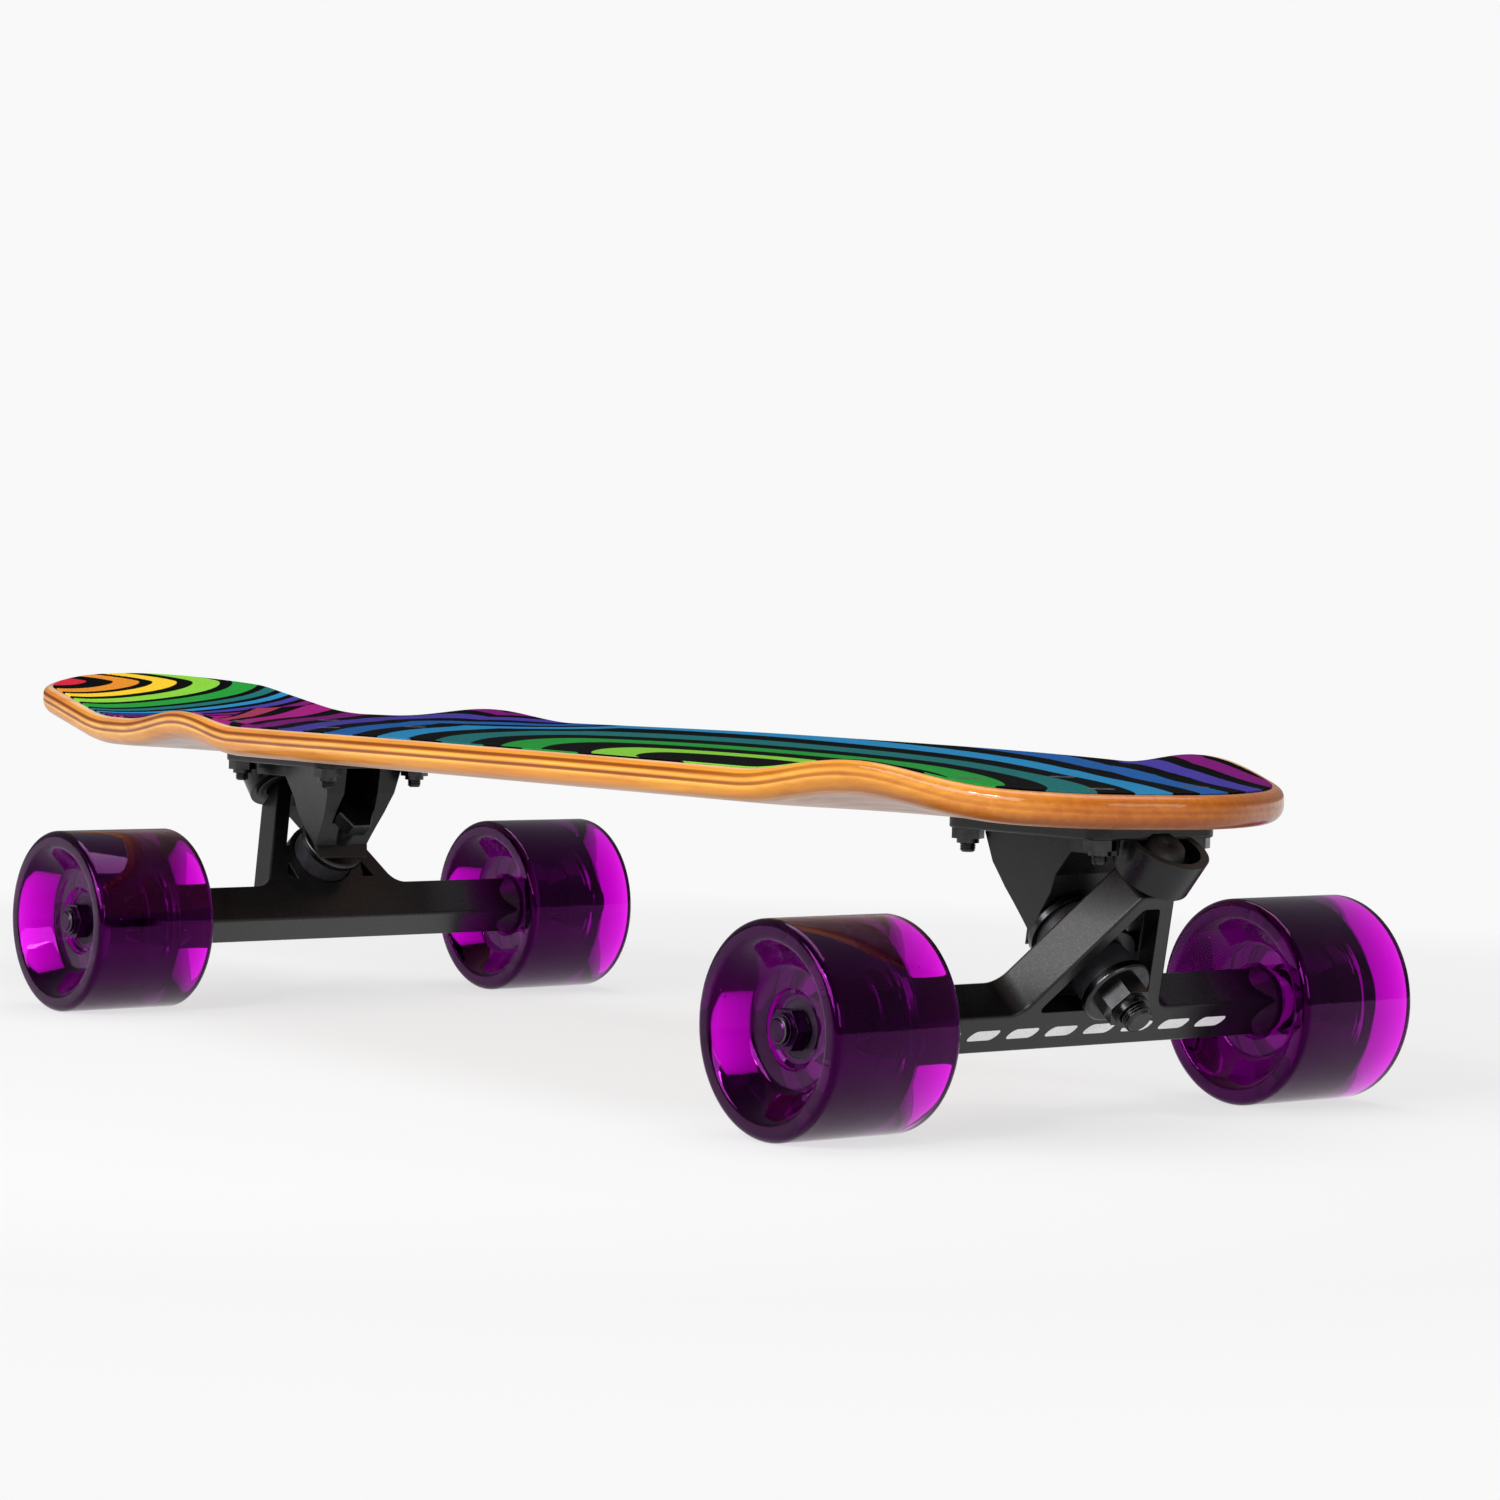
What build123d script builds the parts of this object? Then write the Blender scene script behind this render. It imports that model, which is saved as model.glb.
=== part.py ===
from build123d import *
import os
from math import cos, pi, radians, sin, sqrt, tan

os.makedirs("parts", exist_ok=True)

# A short cruiser skateboard: a pressed maple deck with a kicktail and wheel flares, two
# reverse-kingpin trucks and four clear urethane wheels on sealed ball bearings.
#
# Frame, in millimetres: +X towards the nose, +Y to the rider's left, +Z up. The origin is on the
# floor, under the middle of the deck's length.

# ---- deck ----
DECK_LENGTH = 676.0
DECK_WIDTH = 190.0
DECK_THICKNESS = 11.0
GRIP_THICKNESS = 0.6
GLUE = 0.03                    # the film between the grip sheet and the wood
GRIP_MARGIN = 4.0              # bare wood between the grip sheet and the deck's edge
STANDING_LENGTH = 240.0        # the flat strip to stand on, between the two sets of bolts
STANDING_WIDTH = 44.0
STANDING_RELIEF = 0.05         # the strip is this much thinner than the rest of the grip sheet
FLAT_HALF_WIDTH = 28.0         # the deck is flat across the trucks and curves up outside this
CONCAVE_RISE = 4.0             # how far the rails stand over the flat at the deck's widest
KICK_START = 98.0              # the kicktail's bend begins this far in from the tail's tip
KICK_BEND_RADIUS = 150.0
KICK_ANGLE = 10.8
FLARE_START = 36.0             # the wheel flares begin this far out from the middle
FLARE_FULL = 76.0              # and have their full height here
FLARE_REACH = 55.0             # half the length of a flare
FRONT_FLARE_HEIGHT = 5.5
REAR_FLARE_HEIGHT = 5.1
TOP_EDGE_RADIUS = 3.6
BOTTOM_EDGE_RADIUS = 4.8
TAIL_END_RADIUS = 69.0
TAIL_CORNER_RADIUS = 14.0

# ---- running gear ----
WHEELBASE = 440.0              # axle to axle
FRONT_OVERHANG = 69.5          # nose tip to front axle
WHEEL_RADIUS = 35.0
WHEEL_WIDTH = 51.0
PLATE_TO_AXLE = 63.9           # baseplate top to axle centre
PAINT = 0.03                   # the finish between a baseplate and the wood
STEER_ANGLE = 52.0             # steering axis from the horizontal
HANGER_WIDTH = 176.0
AXLE_RADIUS = 4.0

# ---- trucks: distances along and across the steering axis, counted from the axle ----
BAR_SIZE = 16.35               # side of the hanger's square bar
BAR_END_RADIUS = 11.6
KINGPIN_STATION = 21.5         # where the kingpin crosses the steering axis
APEX_STATION = 58.3            # end of the hanger's triangle
PIVOT_TIP_STATION = 71.0
HOUSING_STATION = 61.5         # underside of the pivot housing
LEG_FOOT_STATION = 13.1
LEG_FOOT_HALF = 28.2
APEX_HALF = 7.0
LEG_WALL = 5.5

PLATE_LENGTH = 76.0
PLATE_WIDTH = 54.0
PLATE_THICKNESS = 4.5
PLATE_OFFSET = 4.0             # plate centre, outward of the axle
PLATE_CORNER_RADIUS = 6.5
BOLT_SPACING_X = 63.5
BOLT_SPACING_Y = 41.3
BOLT_RADIUS = 2.4
BOLT_HEAD_RADIUS = 4.6
BOLT_HEAD_DEPTH = 2.3
BOLT_HOLE_RADIUS = 2.7
BOLT_NUT_FLATS = 9.5
BOLT_NUT_HEIGHT = 5.0
BOLT_END = 3.0                 # bolt showing past its nut

KINGPIN_RADIUS = 4.76
KINGPIN_FLATS = 14.3
KINGPIN_END = 27.3             # distances along the kingpin, + towards the road
KINGPIN_HEAD_SEAT = -33.0
KINGPIN_HEAD_HEIGHT = 6.4
POST_SEAT = -20.6
BOARDSIDE_SEAT = -6.0
ROADSIDE_SEAT = 0.5
ROADSIDE_WASHER_SEAT = 12.6
WASHER_THICKNESS = 1.6
WASHER_LIP = 1.5
BOARDSIDE_WASHER_RADIUS = 14.0
ROADSIDE_WASHER_RADIUS = 12.2
BOARDSIDE_BUSHING_RADIUS = 12.4
ROADSIDE_BUSHING_RADIUS = 10.8
KINGPIN_HOLE_RADIUS = 6.6
BUSHING_CORNER = 1.2
BUSHING_BULGE = 0.15
LEG_SIDE_ANGLE = 25.0          # the sides of the hanger's triangle from the steering axis
POCKET_CORNER_RADIUS = 2.0
PIVOT_RADIUS = 5.0             # at the pivot's round tip
PIVOT_ROOT_RADIUS = 7.0
BOSS_RADIUS = 14.6             # what stays of the hanger's web round the kingpin

POST_HALF_INNER = 9.5          # the baseplate's seat for the bushings, from the kingpin's axis
POST_HALF_OUTER = 13.0
POST_ROOF = 54.0               # height of the hollow between the post and the pivot housing
POST_LOW = 20.0                # the casting's taper is drawn from this height
OVERLAP = 0.5                  # how far joined solids run into each other
HOUSING_RADIUS = 13.5
HOUSING_RISE = 76.0            # the housing's back from the horizontal
HOUSING_LENGTH = 34.0
HOUSING_FLARE = 1.4            # how much wider the housing is at its far end
HOUSING_RIM_TILT = 29.0
HOUSING_RIM = (53.0, 53.6)     # a point of the housing's slanted rim, along and up
HOUSING_WALL = 2.6
HOUSING_FLOOR = 7.0
CUP_RADIUS = 8.6
CUP_STRAIGHT = 6.5
CUP_TAPER = 6.0
CUP_TAPER_DEPTH = 2.6
CUP_LIP = 2.2
CUP_LIP_THICKNESS = 1.2
LIP_RELIEF = 20.0              # depth of the clear space under the cup's lip
CHANNEL_HALF = 8.0             # half the width of the slot for the kingpin's head
SPOT_MARGIN = 1.4              # clear space round a mounting nut
SPOT_DEPTH = 12.0
CUP_CLEARANCE = 0.06

# ---- wheel bearings: the common 8 x 22 x 7 mm size ----
BEARING_RADIUS = 11.0
BEARING_WIDTH = 7.0
INNER_RACE_RADIUS = 6.05
OUTER_RACE_BORE = 9.3
BALL_RADIUS = 1.95
BALL_CIRCLE = 7.7
BALL_COUNT = 7
GROOVE_CLEARANCE = 0.06
SPACER_LENGTH = 10.2
SPACER_RADIUS = 5.0
SPEED_WASHER = 1.0
SPEED_WASHER_RADIUS = 6.4
AXLE_NUT_FLATS = 12.7
AXLE_NUT_HEIGHT = 6.6
AXLE_END = 1.6                 # thread showing past the axle nut

# ---- worked out from the dimensions above ----
AXLE_HEIGHT = WHEEL_RADIUS
DECK_UNDERSIDE = AXLE_HEIGHT + PLATE_TO_AXLE + PAINT
DECK_TOP = DECK_UNDERSIDE + DECK_THICKNESS
NOSE_X = DECK_LENGTH / 2
TAIL_X = -DECK_LENGTH / 2
FRONT_AXLE_X = NOSE_X - FRONT_OVERHANG
REAR_AXLE_X = FRONT_AXLE_X - WHEELBASE
WHEEL_Y = HANGER_WIDTH / 2 + SPEED_WASHER + BEARING_WIDTH + SPACER_LENGTH / 2
AXLE_HALF = WHEEL_Y + SPACER_LENGTH / 2 + BEARING_WIDTH + SPEED_WASHER + AXLE_NUT_HEIGHT + AXLE_END
BAR_HALF = BAR_SIZE / 2
PLATE_TOP = PLATE_TO_AXLE
PLATE_BOTTOM = PLATE_TOP - PLATE_THICKNESS
ALONG = Vector(cos(radians(STEER_ANGLE)), 0, sin(radians(STEER_ANGLE)))    # the steering axis
ACROSS = Vector(sin(radians(STEER_ANGLE)), 0, -cos(radians(STEER_ANGLE)))  # the kingpin, roadward
SIDEWAYS = Vector(0, 1, 0)
TRUCKS = {
    "front": Pos(FRONT_AXLE_X, 0, AXLE_HEIGHT),
    "rear": Pos(REAR_AXLE_X, 0, AXLE_HEIGHT) * Rot(0, 0, 180),
}
SIDES = {"left": 1, "right": -1}


def write(name, shape):
    export_step(shape, f"parts/{name}.step")


def group(solids):
    return Compound(children=list(solids))


# ======================================================================== deck

def tail_corner():
    """The centre of the tail's corner arc, and where it leaves the rail and joins the end arc."""
    rail_start = Vector(-262.0, 62.2)
    rail_end = Vector(-300.0, 57.1)
    run = (rail_end - rail_start).normalized()
    out = Vector(run.Y, -run.X)
    end_centre = Vector(TAIL_X + TAIL_END_RADIUS, 0)
    reach = TAIL_END_RADIUS - TAIL_CORNER_RADIUS
    base = rail_end - out * TAIL_CORNER_RADIUS - end_centre
    half = base.dot(run)
    step = -half + sqrt(half**2 - base.dot(base) + reach**2)
    centre = end_centre + base + run * step
    on_rail = centre + out * TAIL_CORNER_RADIUS
    on_end = end_centre + (centre - end_centre).normalized() * TAIL_END_RADIUS
    middle = centre + ((on_rail + on_end) * 0.5 - centre).normalized() * TAIL_CORNER_RADIUS
    return rail_end, on_rail, middle, on_end


def deck_outline(inset=0.0):
    """The deck's plan as a flat face, or the same plan drawn in from its edge."""
    rail_end, on_rail, middle, on_end = tail_corner()
    rail = [
        (332.6, 21.9), (322.8, 40.3), (310.2, 55.4), (291.2, 68.6), (256.4, 78.9), (213.1, 87.0),
        (158.8, 93.0), (60.0, DECK_WIDTH / 2), (-21.5, 93.0), (-81.5, 87.3), (-171.5, 76.6),
        (-262.0, 62.2), (rail_end.X, rail_end.Y), (on_rail.X, on_rail.Y),
    ]
    right = [(x, -y) for x, y in reversed(rail)]
    edges = [Spline(*right, (NOSE_X, 0), *rail).edge()]
    for side in SIDES.values():
        corner = [Vector(point.X, side * point.Y) for point in (on_rail, middle, on_end)]
        edges.append(ThreePointArc(*corner).edge())
    edges.append(ThreePointArc(on_end, (TAIL_X, 0), Vector(on_end.X, -on_end.Y)).edge())
    wire = Wire(edges)
    if inset:
        wire = wire.offset_2d(-inset)
    return Face(wire)


def deck_height(x, y):
    """Height of the deck's top over its flat middle."""
    out = max(abs(y) - FLAT_HALF_WIDTH, 0) / (DECK_WIDTH / 2 - FLAT_HALF_WIDTH)
    height = CONCAVE_RISE * out**2
    back = TAIL_X + KICK_START - x
    bend = KICK_BEND_RADIUS * sin(radians(KICK_ANGLE))
    if back > 0:
        arc = min(back, bend)
        height += KICK_BEND_RADIUS - sqrt(KICK_BEND_RADIUS**2 - arc**2)
        height += max(back - bend, 0) * tan(radians(KICK_ANGLE))
    flares = ((FRONT_AXLE_X - 12, FRONT_FLARE_HEIGHT), (REAR_AXLE_X, REAR_FLARE_HEIGHT))
    lift = (max(abs(y) - FLARE_START, 0) / (FLARE_FULL - FLARE_START)) ** 2
    for centre, full in flares:
        if abs(x - centre) < FLARE_REACH:
            height += full * lift * cos(pi * (x - centre) / (2 * FLARE_REACH)) ** 2
    return height


def deck_sheet():
    """The deck's top surface, larger than its outline."""
    columns = 64
    rows = 27
    span_x = DECK_LENGTH + 16
    span_y = DECK_WIDTH + 8
    grid = []
    for i in range(columns + 1):
        x = span_x * (i / columns - 0.5)
        line = [span_y * (j / rows - 0.5) for j in range(rows + 1)]
        grid.append([Vector(x, y, DECK_TOP + deck_height(x, y)) for y in line])
    return Face.make_surface_from_array_of_points(grid, tol=0.01, min_deg=3, max_deg=3)


def bolt_spots(truck):
    """The four mounting bolts' places in a truck's pattern, in the row frame."""
    spots = []
    for dx in (-BOLT_SPACING_X / 2, BOLT_SPACING_X / 2):
        for dy in (-BOLT_SPACING_Y / 2, BOLT_SPACING_Y / 2):
            spot = (TRUCKS[truck] * Pos(PLATE_OFFSET + dx, dy, 0)).position
            spots.append(Pos(spot.X, spot.Y, 0))
    return spots


def bolt_head(clearance=0.0):
    """A countersunk head, its flat top at height 0."""
    cone = Cone(BOLT_RADIUS + clearance, BOLT_HEAD_RADIUS + clearance, BOLT_HEAD_DEPTH)
    return Pos(0, 0, -BOLT_HEAD_DEPTH / 2) * cone


def bolt_holes(radius):
    """Circles on the deck's plan, one at each mounting bolt."""
    return [spot * Circle(radius) for truck in TRUCKS for spot in bolt_spots(truck)]


def is_rim(edge, depth):
    """Whether an edge follows the deck's outline at this depth under its top."""
    point = edge.position_at(0.5)
    level = DECK_TOP + deck_height(point.X, point.Y) - depth
    return edge.length > 60 and abs(point.Z - level) < 1.0


def build_deck(sheet):
    plan = deck_outline() - bolt_holes(BOLT_HOLE_RADIUS)
    top = (sheet & extrude(plan, amount=200)).faces()[0]
    deck = extrude(top, amount=DECK_THICKNESS, dir=(0, 0, -1))
    deck = fillet([edge for edge in deck.edges() if is_rim(edge, 0)], TOP_EDGE_RADIUS)
    underside = [edge for edge in deck.edges() if is_rim(edge, DECK_THICKNESS)]
    return fillet(underside, BOTTOM_EDGE_RADIUS)


def build_grip(sheet):
    plan = deck_outline(GRIP_MARGIN) - bolt_holes(BOLT_HEAD_RADIUS + 0.1)
    top = (sheet & extrude(plan, amount=200)).faces()[0]
    grip = Pos(0, 0, GLUE) * extrude(top, amount=GRIP_THICKNESS, dir=(0, 0, 1))
    strip = Box(STANDING_LENGTH, STANDING_WIDTH, 4)
    return grip - Pos(0, 0, DECK_TOP + GLUE + GRIP_THICKNESS - STANDING_RELIEF + 2) * strip


# ======================================================================== small hardware

def nut(flats, height, bore, dome=0.0):
    """A hexagon nut standing on height 0, with chamfered corners and a locking collar on top."""
    body = extrude(RegularPolygon(flats / 2, 6, major_radius=False), amount=height - dome)
    cone = Pos(0, 0, height / 2) * Cone(flats / 2 + height, flats / 2, height)
    body = body & cone
    if dome:
        body += Pos(0, 0, height - dome / 2) * Cylinder(flats / 2 - 1.0, dome)
    return body - Pos(0, 0, height / 2) * Cylinder(bore, height * 2)


def ring(outer, inner, low, high):
    """A flat ring about Z between two heights."""
    washer = Cylinder(outer, high - low) - Cylinder(inner, high - low)
    return Pos(0, 0, (low + high) / 2) * washer


def mounting_bolt():
    """A countersunk bolt, its head's flat top at height 0."""
    length = GRIP_THICKNESS + DECK_THICKNESS + PLATE_THICKNESS + BOLT_NUT_HEIGHT + BOLT_END
    shank = Pos(0, 0, -length / 2) * Cylinder(BOLT_RADIUS, length)
    shank = chamfer(shank.edges().sort_by(Axis.Z)[0], 0.5)
    drive = Pos(0, 0, -0.8) * extrude(RegularPolygon(1.6, 6, major_radius=False), amount=2.0)
    return shank + bolt_head() - drive


# ======================================================================== trucks
# A truck is built about its axle's centre, with +X outward, towards the deck's near end.
# In the steering plane, X is across the board, Y runs along the steering axis towards the
# pivot, and Z runs along the kingpin towards the road.

STEERING_PLANE = Plane(origin=(0, 0, 0), x_dir=SIDEWAYS, z_dir=ACROSS)
KINGPIN_PLANE = Plane(origin=ALONG * KINGPIN_STATION, x_dir=SIDEWAYS, z_dir=ACROSS)
PIVOT_PLANE = Plane(origin=(0, 0, 0), x_dir=SIDEWAYS, z_dir=ALONG)
AXLE_PLANE = Plane(origin=(0, 0, 0), x_dir=ALONG, z_dir=SIDEWAYS)


def leg_half_width(station):
    """Half the width of the hanger's triangle at a station along the steering axis."""
    slope = (LEG_FOOT_HALF - APEX_HALF) / (APEX_STATION - LEG_FOOT_STATION)
    return LEG_FOOT_HALF - slope * (station - LEG_FOOT_STATION)


def prism(points, low, high):
    """A prism on the steering plane, between two distances along the kingpin."""
    outline = make_face(Polyline(*points, close=True))
    return STEERING_PLANE * Pos(0, 0, low) * extrude(outline, amount=high - low)


def trapezium(low, high, inset=0.0):
    """Four corners of the hanger's triangle between two stations."""
    foot = leg_half_width(low) - inset
    head = leg_half_width(high) - inset
    return [(-foot, low), (-head, high), (head, high), (foot, low)]


def bar_ends():
    """The round ends of the hanger's bar."""
    end_length = 2.5
    flare_length = 7.0
    ends = []
    for side in SIDES.values():
        flare = Cone(BAR_HALF - 0.4, BAR_END_RADIUS, flare_length)
        disc = Pos(0, 0, (flare_length + end_length) / 2) * Cylinder(BAR_END_RADIUS, end_length)
        end = Pos(0, 0, HANGER_WIDTH / 2 - end_length - flare_length / 2) * (flare + disc)
        ends.append(Rot(-90 * side, 0, 0) * end)
    return ends


def pivot_nose(growth=0.0):
    """The hanger's rounded pivot pin about the steering axis, or the socket that takes it."""
    root = PIVOT_ROOT_RADIUS + growth
    tip = PIVOT_RADIUS + growth
    start = APEX_STATION - 2.0
    centre = PIVOT_TIP_STATION - PIVOT_RADIUS
    length = centre - start
    pin = Pos(0, 0, start + length / 2) * Cone(root, tip, length) + Pos(0, 0, centre) * Sphere(tip)
    return PIVOT_PLANE * pin


def hanger_blank():
    """The square bar and the triangle above it, with rounded corners and edges."""
    triangle = make_face(Polyline(*trapezium(0, APEX_STATION), close=True))
    plan = Rectangle(HANGER_WIDTH, BAR_SIZE) + triangle
    corners = [v for v in plan.vertices() if abs(v.Y - BAR_HALF) < 0.1 and abs(v.X) < 60]
    plan = fillet(corners, 8.0)
    plan = fillet([v for v in plan.vertices() if v.Y > APEX_STATION - 0.1], 2.5)
    blank = extrude(plan, amount=BAR_HALF, both=True)
    faces = blank.faces().filter_by(Axis.Z)
    edges = [edge for face in faces for edge in face.edges()]
    ends = [edge for edge in edges if abs(edge.center().X) > HANGER_WIDTH / 2 - 0.1]
    blank = fillet([edge for edge in edges if edge not in ends], 1.0)
    return STEERING_PLANE * blank


def build_hanger():
    hanger = hanger_blank() + bar_ends()
    wall = LEG_WALL / cos(radians(LEG_SIDE_ANGLE))
    pocket = prism(trapezium(BAR_HALF + 0.6, 53.0, wall), ROADSIDE_SEAT, BAR_HALF + 1)
    hanger -= fillet(pocket.edges().filter_by(Axis((0, 0, 0), ACROSS)), POCKET_CORNER_RADIUS)
    boss = KINGPIN_PLANE * Cylinder(BOSS_RADIUS, 60)
    hanger -= prism(trapezium(27.0, 52.0, wall + 0.6), -BAR_HALF - 1, BAR_HALF) - boss
    hanger -= KINGPIN_PLANE * ring(BOARDSIDE_BUSHING_RADIUS + 0.6, 0.01, -BAR_HALF - 1, BOARDSIDE_SEAT)
    hanger -= KINGPIN_PLANE * Cylinder(KINGPIN_HOLE_RADIUS, 60)
    for side in SIDES.values():
        lightening = [(side * 15.5, 11.0), (side * 21.0, 11.0), (side * 17.0, 19.0)]
        hanger -= prism(lightening, -BAR_HALF - 1, -BAR_HALF + 3.0)
    hanger += pivot_nose()
    return hanger - AXLE_PLANE * Cylinder(AXLE_RADIUS, HANGER_WIDTH + 2)


def baseplate_limits():
    """The taper of the baseplate's casting below its plate, seen along the board and in plan."""
    low_plan = [(-45, -8.8), (14, -12.5), (44, -12.5), (44, 12.5), (14, 12.5), (-45, 8.8)]
    high_plan = [(-45, -21.5), (14, -13.5), (44, -13.5), (44, 13.5), (14, 13.5), (-45, 21.5)]
    bottom = Plane.XY.offset(POST_LOW) * make_face(Polyline(*low_plan, close=True))
    top = Plane.XY.offset(PLATE_BOTTOM + OVERLAP + 0.1) * make_face(Polyline(*high_plan, close=True))
    return loft([bottom, top])


def cup_body():
    """The outside of the pivot cup, which is also the bore that it sits in."""
    middle = HOUSING_STATION + CUP_STRAIGHT / 2
    body = Pos(0, 0, middle) * Cylinder(CUP_RADIUS, CUP_STRAIGHT)
    tapered = Cone(CUP_RADIUS, CUP_RADIUS - CUP_TAPER_DEPTH, CUP_TAPER)
    return PIVOT_PLANE * (body + Pos(0, 0, middle + (CUP_STRAIGHT + CUP_TAPER) / 2) * tapered)


def housing_solid(shrink, start):
    """The pivot housing from a station up to beyond its rim, or its hollow, drawn in by shrink."""
    radius = HOUSING_RADIUS - shrink
    rise = Vector(cos(radians(HOUSING_RISE)), 0, sin(radians(HOUSING_RISE)))
    mouth = PIVOT_PLANE * Pos(0, 0, start) * Circle(radius)
    straight = Cone(radius + 0.05, radius + HOUSING_FLARE, HOUSING_LENGTH)
    return extrude(mouth, amount=HOUSING_LENGTH, dir=rise) + (
        PIVOT_PLANE * Pos(0, 0, start + HOUSING_LENGTH / 2) * straight
    )


def build_baseplate():
    plate = Box(PLATE_LENGTH, PLATE_WIDTH, PLATE_THICKNESS)
    plate = fillet(plate.edges().filter_by(Axis.Z), PLATE_CORNER_RADIUS)
    plate = fillet(plate.faces().sort_by(Axis.Z)[0].edges(), 0.8)
    plate = Pos(PLATE_OFFSET, 0, PLATE_TOP - PLATE_THICKNESS / 2) * plate

    seat = ALONG * KINGPIN_STATION + ACROSS * POST_SEAT
    inner = seat - ALONG * POST_HALF_INNER
    outer = seat + ALONG * POST_HALF_OUTER
    top = PLATE_BOTTOM + OVERLAP
    profile = [
        (-22.5, top), (-20.6, 48.6), (-16.3, 40.6), (-7.2, 27.5), (inner.X, inner.Z),
        (outer.X, outer.Z), (7.5, 46.0), (14.5, POST_ROOF), (36.0, POST_ROOF), (36.0, top),
    ]
    side_view = Plane.XZ * make_face(Polyline(*profile, close=True))
    post = extrude(side_view, amount=30, both=True) & baseplate_limits()

    tilt = radians(HOUSING_RIM_TILT)
    rim_x, rim_z = HOUSING_RIM
    rim = Plane(origin=(rim_x, 0, rim_z), z_dir=(sin(tilt), 0, cos(tilt)))
    housing = housing_solid(0, HOUSING_STATION)
    housing -= rim * Pos(0, 0, 20) * Box(120, 80, 40)
    housing -= Pos(0, 0, top + 20) * Box(160, 80, 40)
    body = plate + post + housing

    below_plate = Pos(0, 0, PLATE_BOTTOM - 50) * Box(200, 80, 100)
    body -= housing_solid(HOUSING_WALL, HOUSING_STATION + HOUSING_FLOOR) & below_plate
    lip_space = Cylinder(CUP_RADIUS + CUP_LIP + 0.4, LIP_RELIEF)
    body -= PIVOT_PLANE * Pos(0, 0, HOUSING_STATION - LIP_RELIEF / 2) * lip_space
    body -= cup_body()

    channel = Pos(0, KINGPIN_STATION + 40, 0) * Box(CHANNEL_HALF * 2, 80, 40)
    channel += Pos(0, KINGPIN_STATION, 0) * Cylinder(CHANNEL_HALF + 0.9, 40)
    body -= (STEERING_PLANE * Pos(0, 0, KINGPIN_HEAD_SEAT - 20) * channel) & below_plate
    body -= KINGPIN_PLANE * Cylinder(KINGPIN_RADIUS, 100)
    for dx in (-BOLT_SPACING_X / 2, BOLT_SPACING_X / 2):
        for dy in (-BOLT_SPACING_Y / 2, BOLT_SPACING_Y / 2):
            hole = Cylinder(BOLT_HOLE_RADIUS, PLATE_THICKNESS * 3)
            spot = Cylinder(BOLT_NUT_FLATS / 2 + SPOT_MARGIN, SPOT_DEPTH)
            body -= Pos(PLATE_OFFSET + dx, dy, PLATE_BOTTOM) * hole
            body -= Pos(PLATE_OFFSET + dx, dy, PLATE_BOTTOM - SPOT_DEPTH / 2) * spot
    return body


def build_pivot_cup():
    lip = Cylinder(CUP_RADIUS + CUP_LIP, CUP_LIP_THICKNESS)
    lip = Pos(0, 0, HOUSING_STATION - CUP_LIP_THICKNESS / 2) * lip
    return cup_body() + PIVOT_PLANE * lip - pivot_nose(CUP_CLEARANCE)


def build_kingpin():
    head = extrude(RegularPolygon(KINGPIN_FLATS / 2, 6, major_radius=False), amount=-KINGPIN_HEAD_HEIGHT)
    length = KINGPIN_END - KINGPIN_HEAD_SEAT
    shank = Pos(0, 0, length / 2) * Cylinder(KINGPIN_RADIUS, length)
    shank = chamfer(shank.edges().sort_by(Axis.Z)[-1], 0.9)
    head = chamfer(head.faces().sort_by(Axis.Z)[0].edges(), 0.6)
    return KINGPIN_PLANE * Pos(0, 0, KINGPIN_HEAD_SEAT) * (shank + head)


def build_kingpin_nut():
    seat = ROADSIDE_WASHER_SEAT + WASHER_THICKNESS
    return KINGPIN_PLANE * Pos(0, 0, seat) * nut(KINGPIN_FLATS, 9.4, KINGPIN_RADIUS, dome=2.6)


def cup_washer(radius):
    """A dished washer standing on height 0, its lip upward round a bushing."""
    washer = ring(radius, KINGPIN_RADIUS, 0, WASHER_THICKNESS)
    washer += ring(radius, radius - 1.3, WASHER_THICKNESS, WASHER_THICKNESS + WASHER_LIP)
    rim = washer.edges().filter_by(GeomType.CIRCLE).group_by(SortBy.RADIUS)[-1]
    return fillet(rim.sort_by(Axis.Z)[0], 1.2)


def build_boardside_washer():
    return KINGPIN_PLANE * Pos(0, 0, POST_SEAT) * cup_washer(BOARDSIDE_WASHER_RADIUS)


def build_roadside_washer():
    seat = ROADSIDE_WASHER_SEAT + WASHER_THICKNESS
    washer = Rot(180, 0, 0) * cup_washer(ROADSIDE_WASHER_RADIUS)
    return KINGPIN_PLANE * Pos(0, 0, seat) * washer


def bushing(radius, low, high):
    """A urethane barrel between two heights, with rounded ends."""
    end = radius - BUSHING_CORNER
    bore = KINGPIN_RADIUS + 0.2
    side_low = (radius, low + BUSHING_CORNER)
    side_high = (radius, high - BUSHING_CORNER)
    bottom = Polyline((bore, low), (end, low), side_low)
    side = ThreePointArc(side_low, (radius + BUSHING_BULGE, (low + high) / 2), side_high)
    top = Polyline(side_high, (end, high), (bore, high))
    inside = Line((bore, high), (bore, low))
    section = Plane.XZ * make_face(Curve() + [bottom, side, top, inside])
    return KINGPIN_PLANE * revolve(section, Axis.Z)


def build_boardside_bushing():
    low = POST_SEAT + WASHER_THICKNESS
    return bushing(BOARDSIDE_BUSHING_RADIUS, low, BOARDSIDE_SEAT)


def build_roadside_bushing():
    return bushing(ROADSIDE_BUSHING_RADIUS, ROADSIDE_SEAT, ROADSIDE_WASHER_SEAT)


def build_axle():
    rod = Cylinder(AXLE_RADIUS, AXLE_HALF * 2)
    rod = chamfer(rod.edges().filter_by(GeomType.CIRCLE), 0.7)
    return AXLE_PLANE * rod


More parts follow.
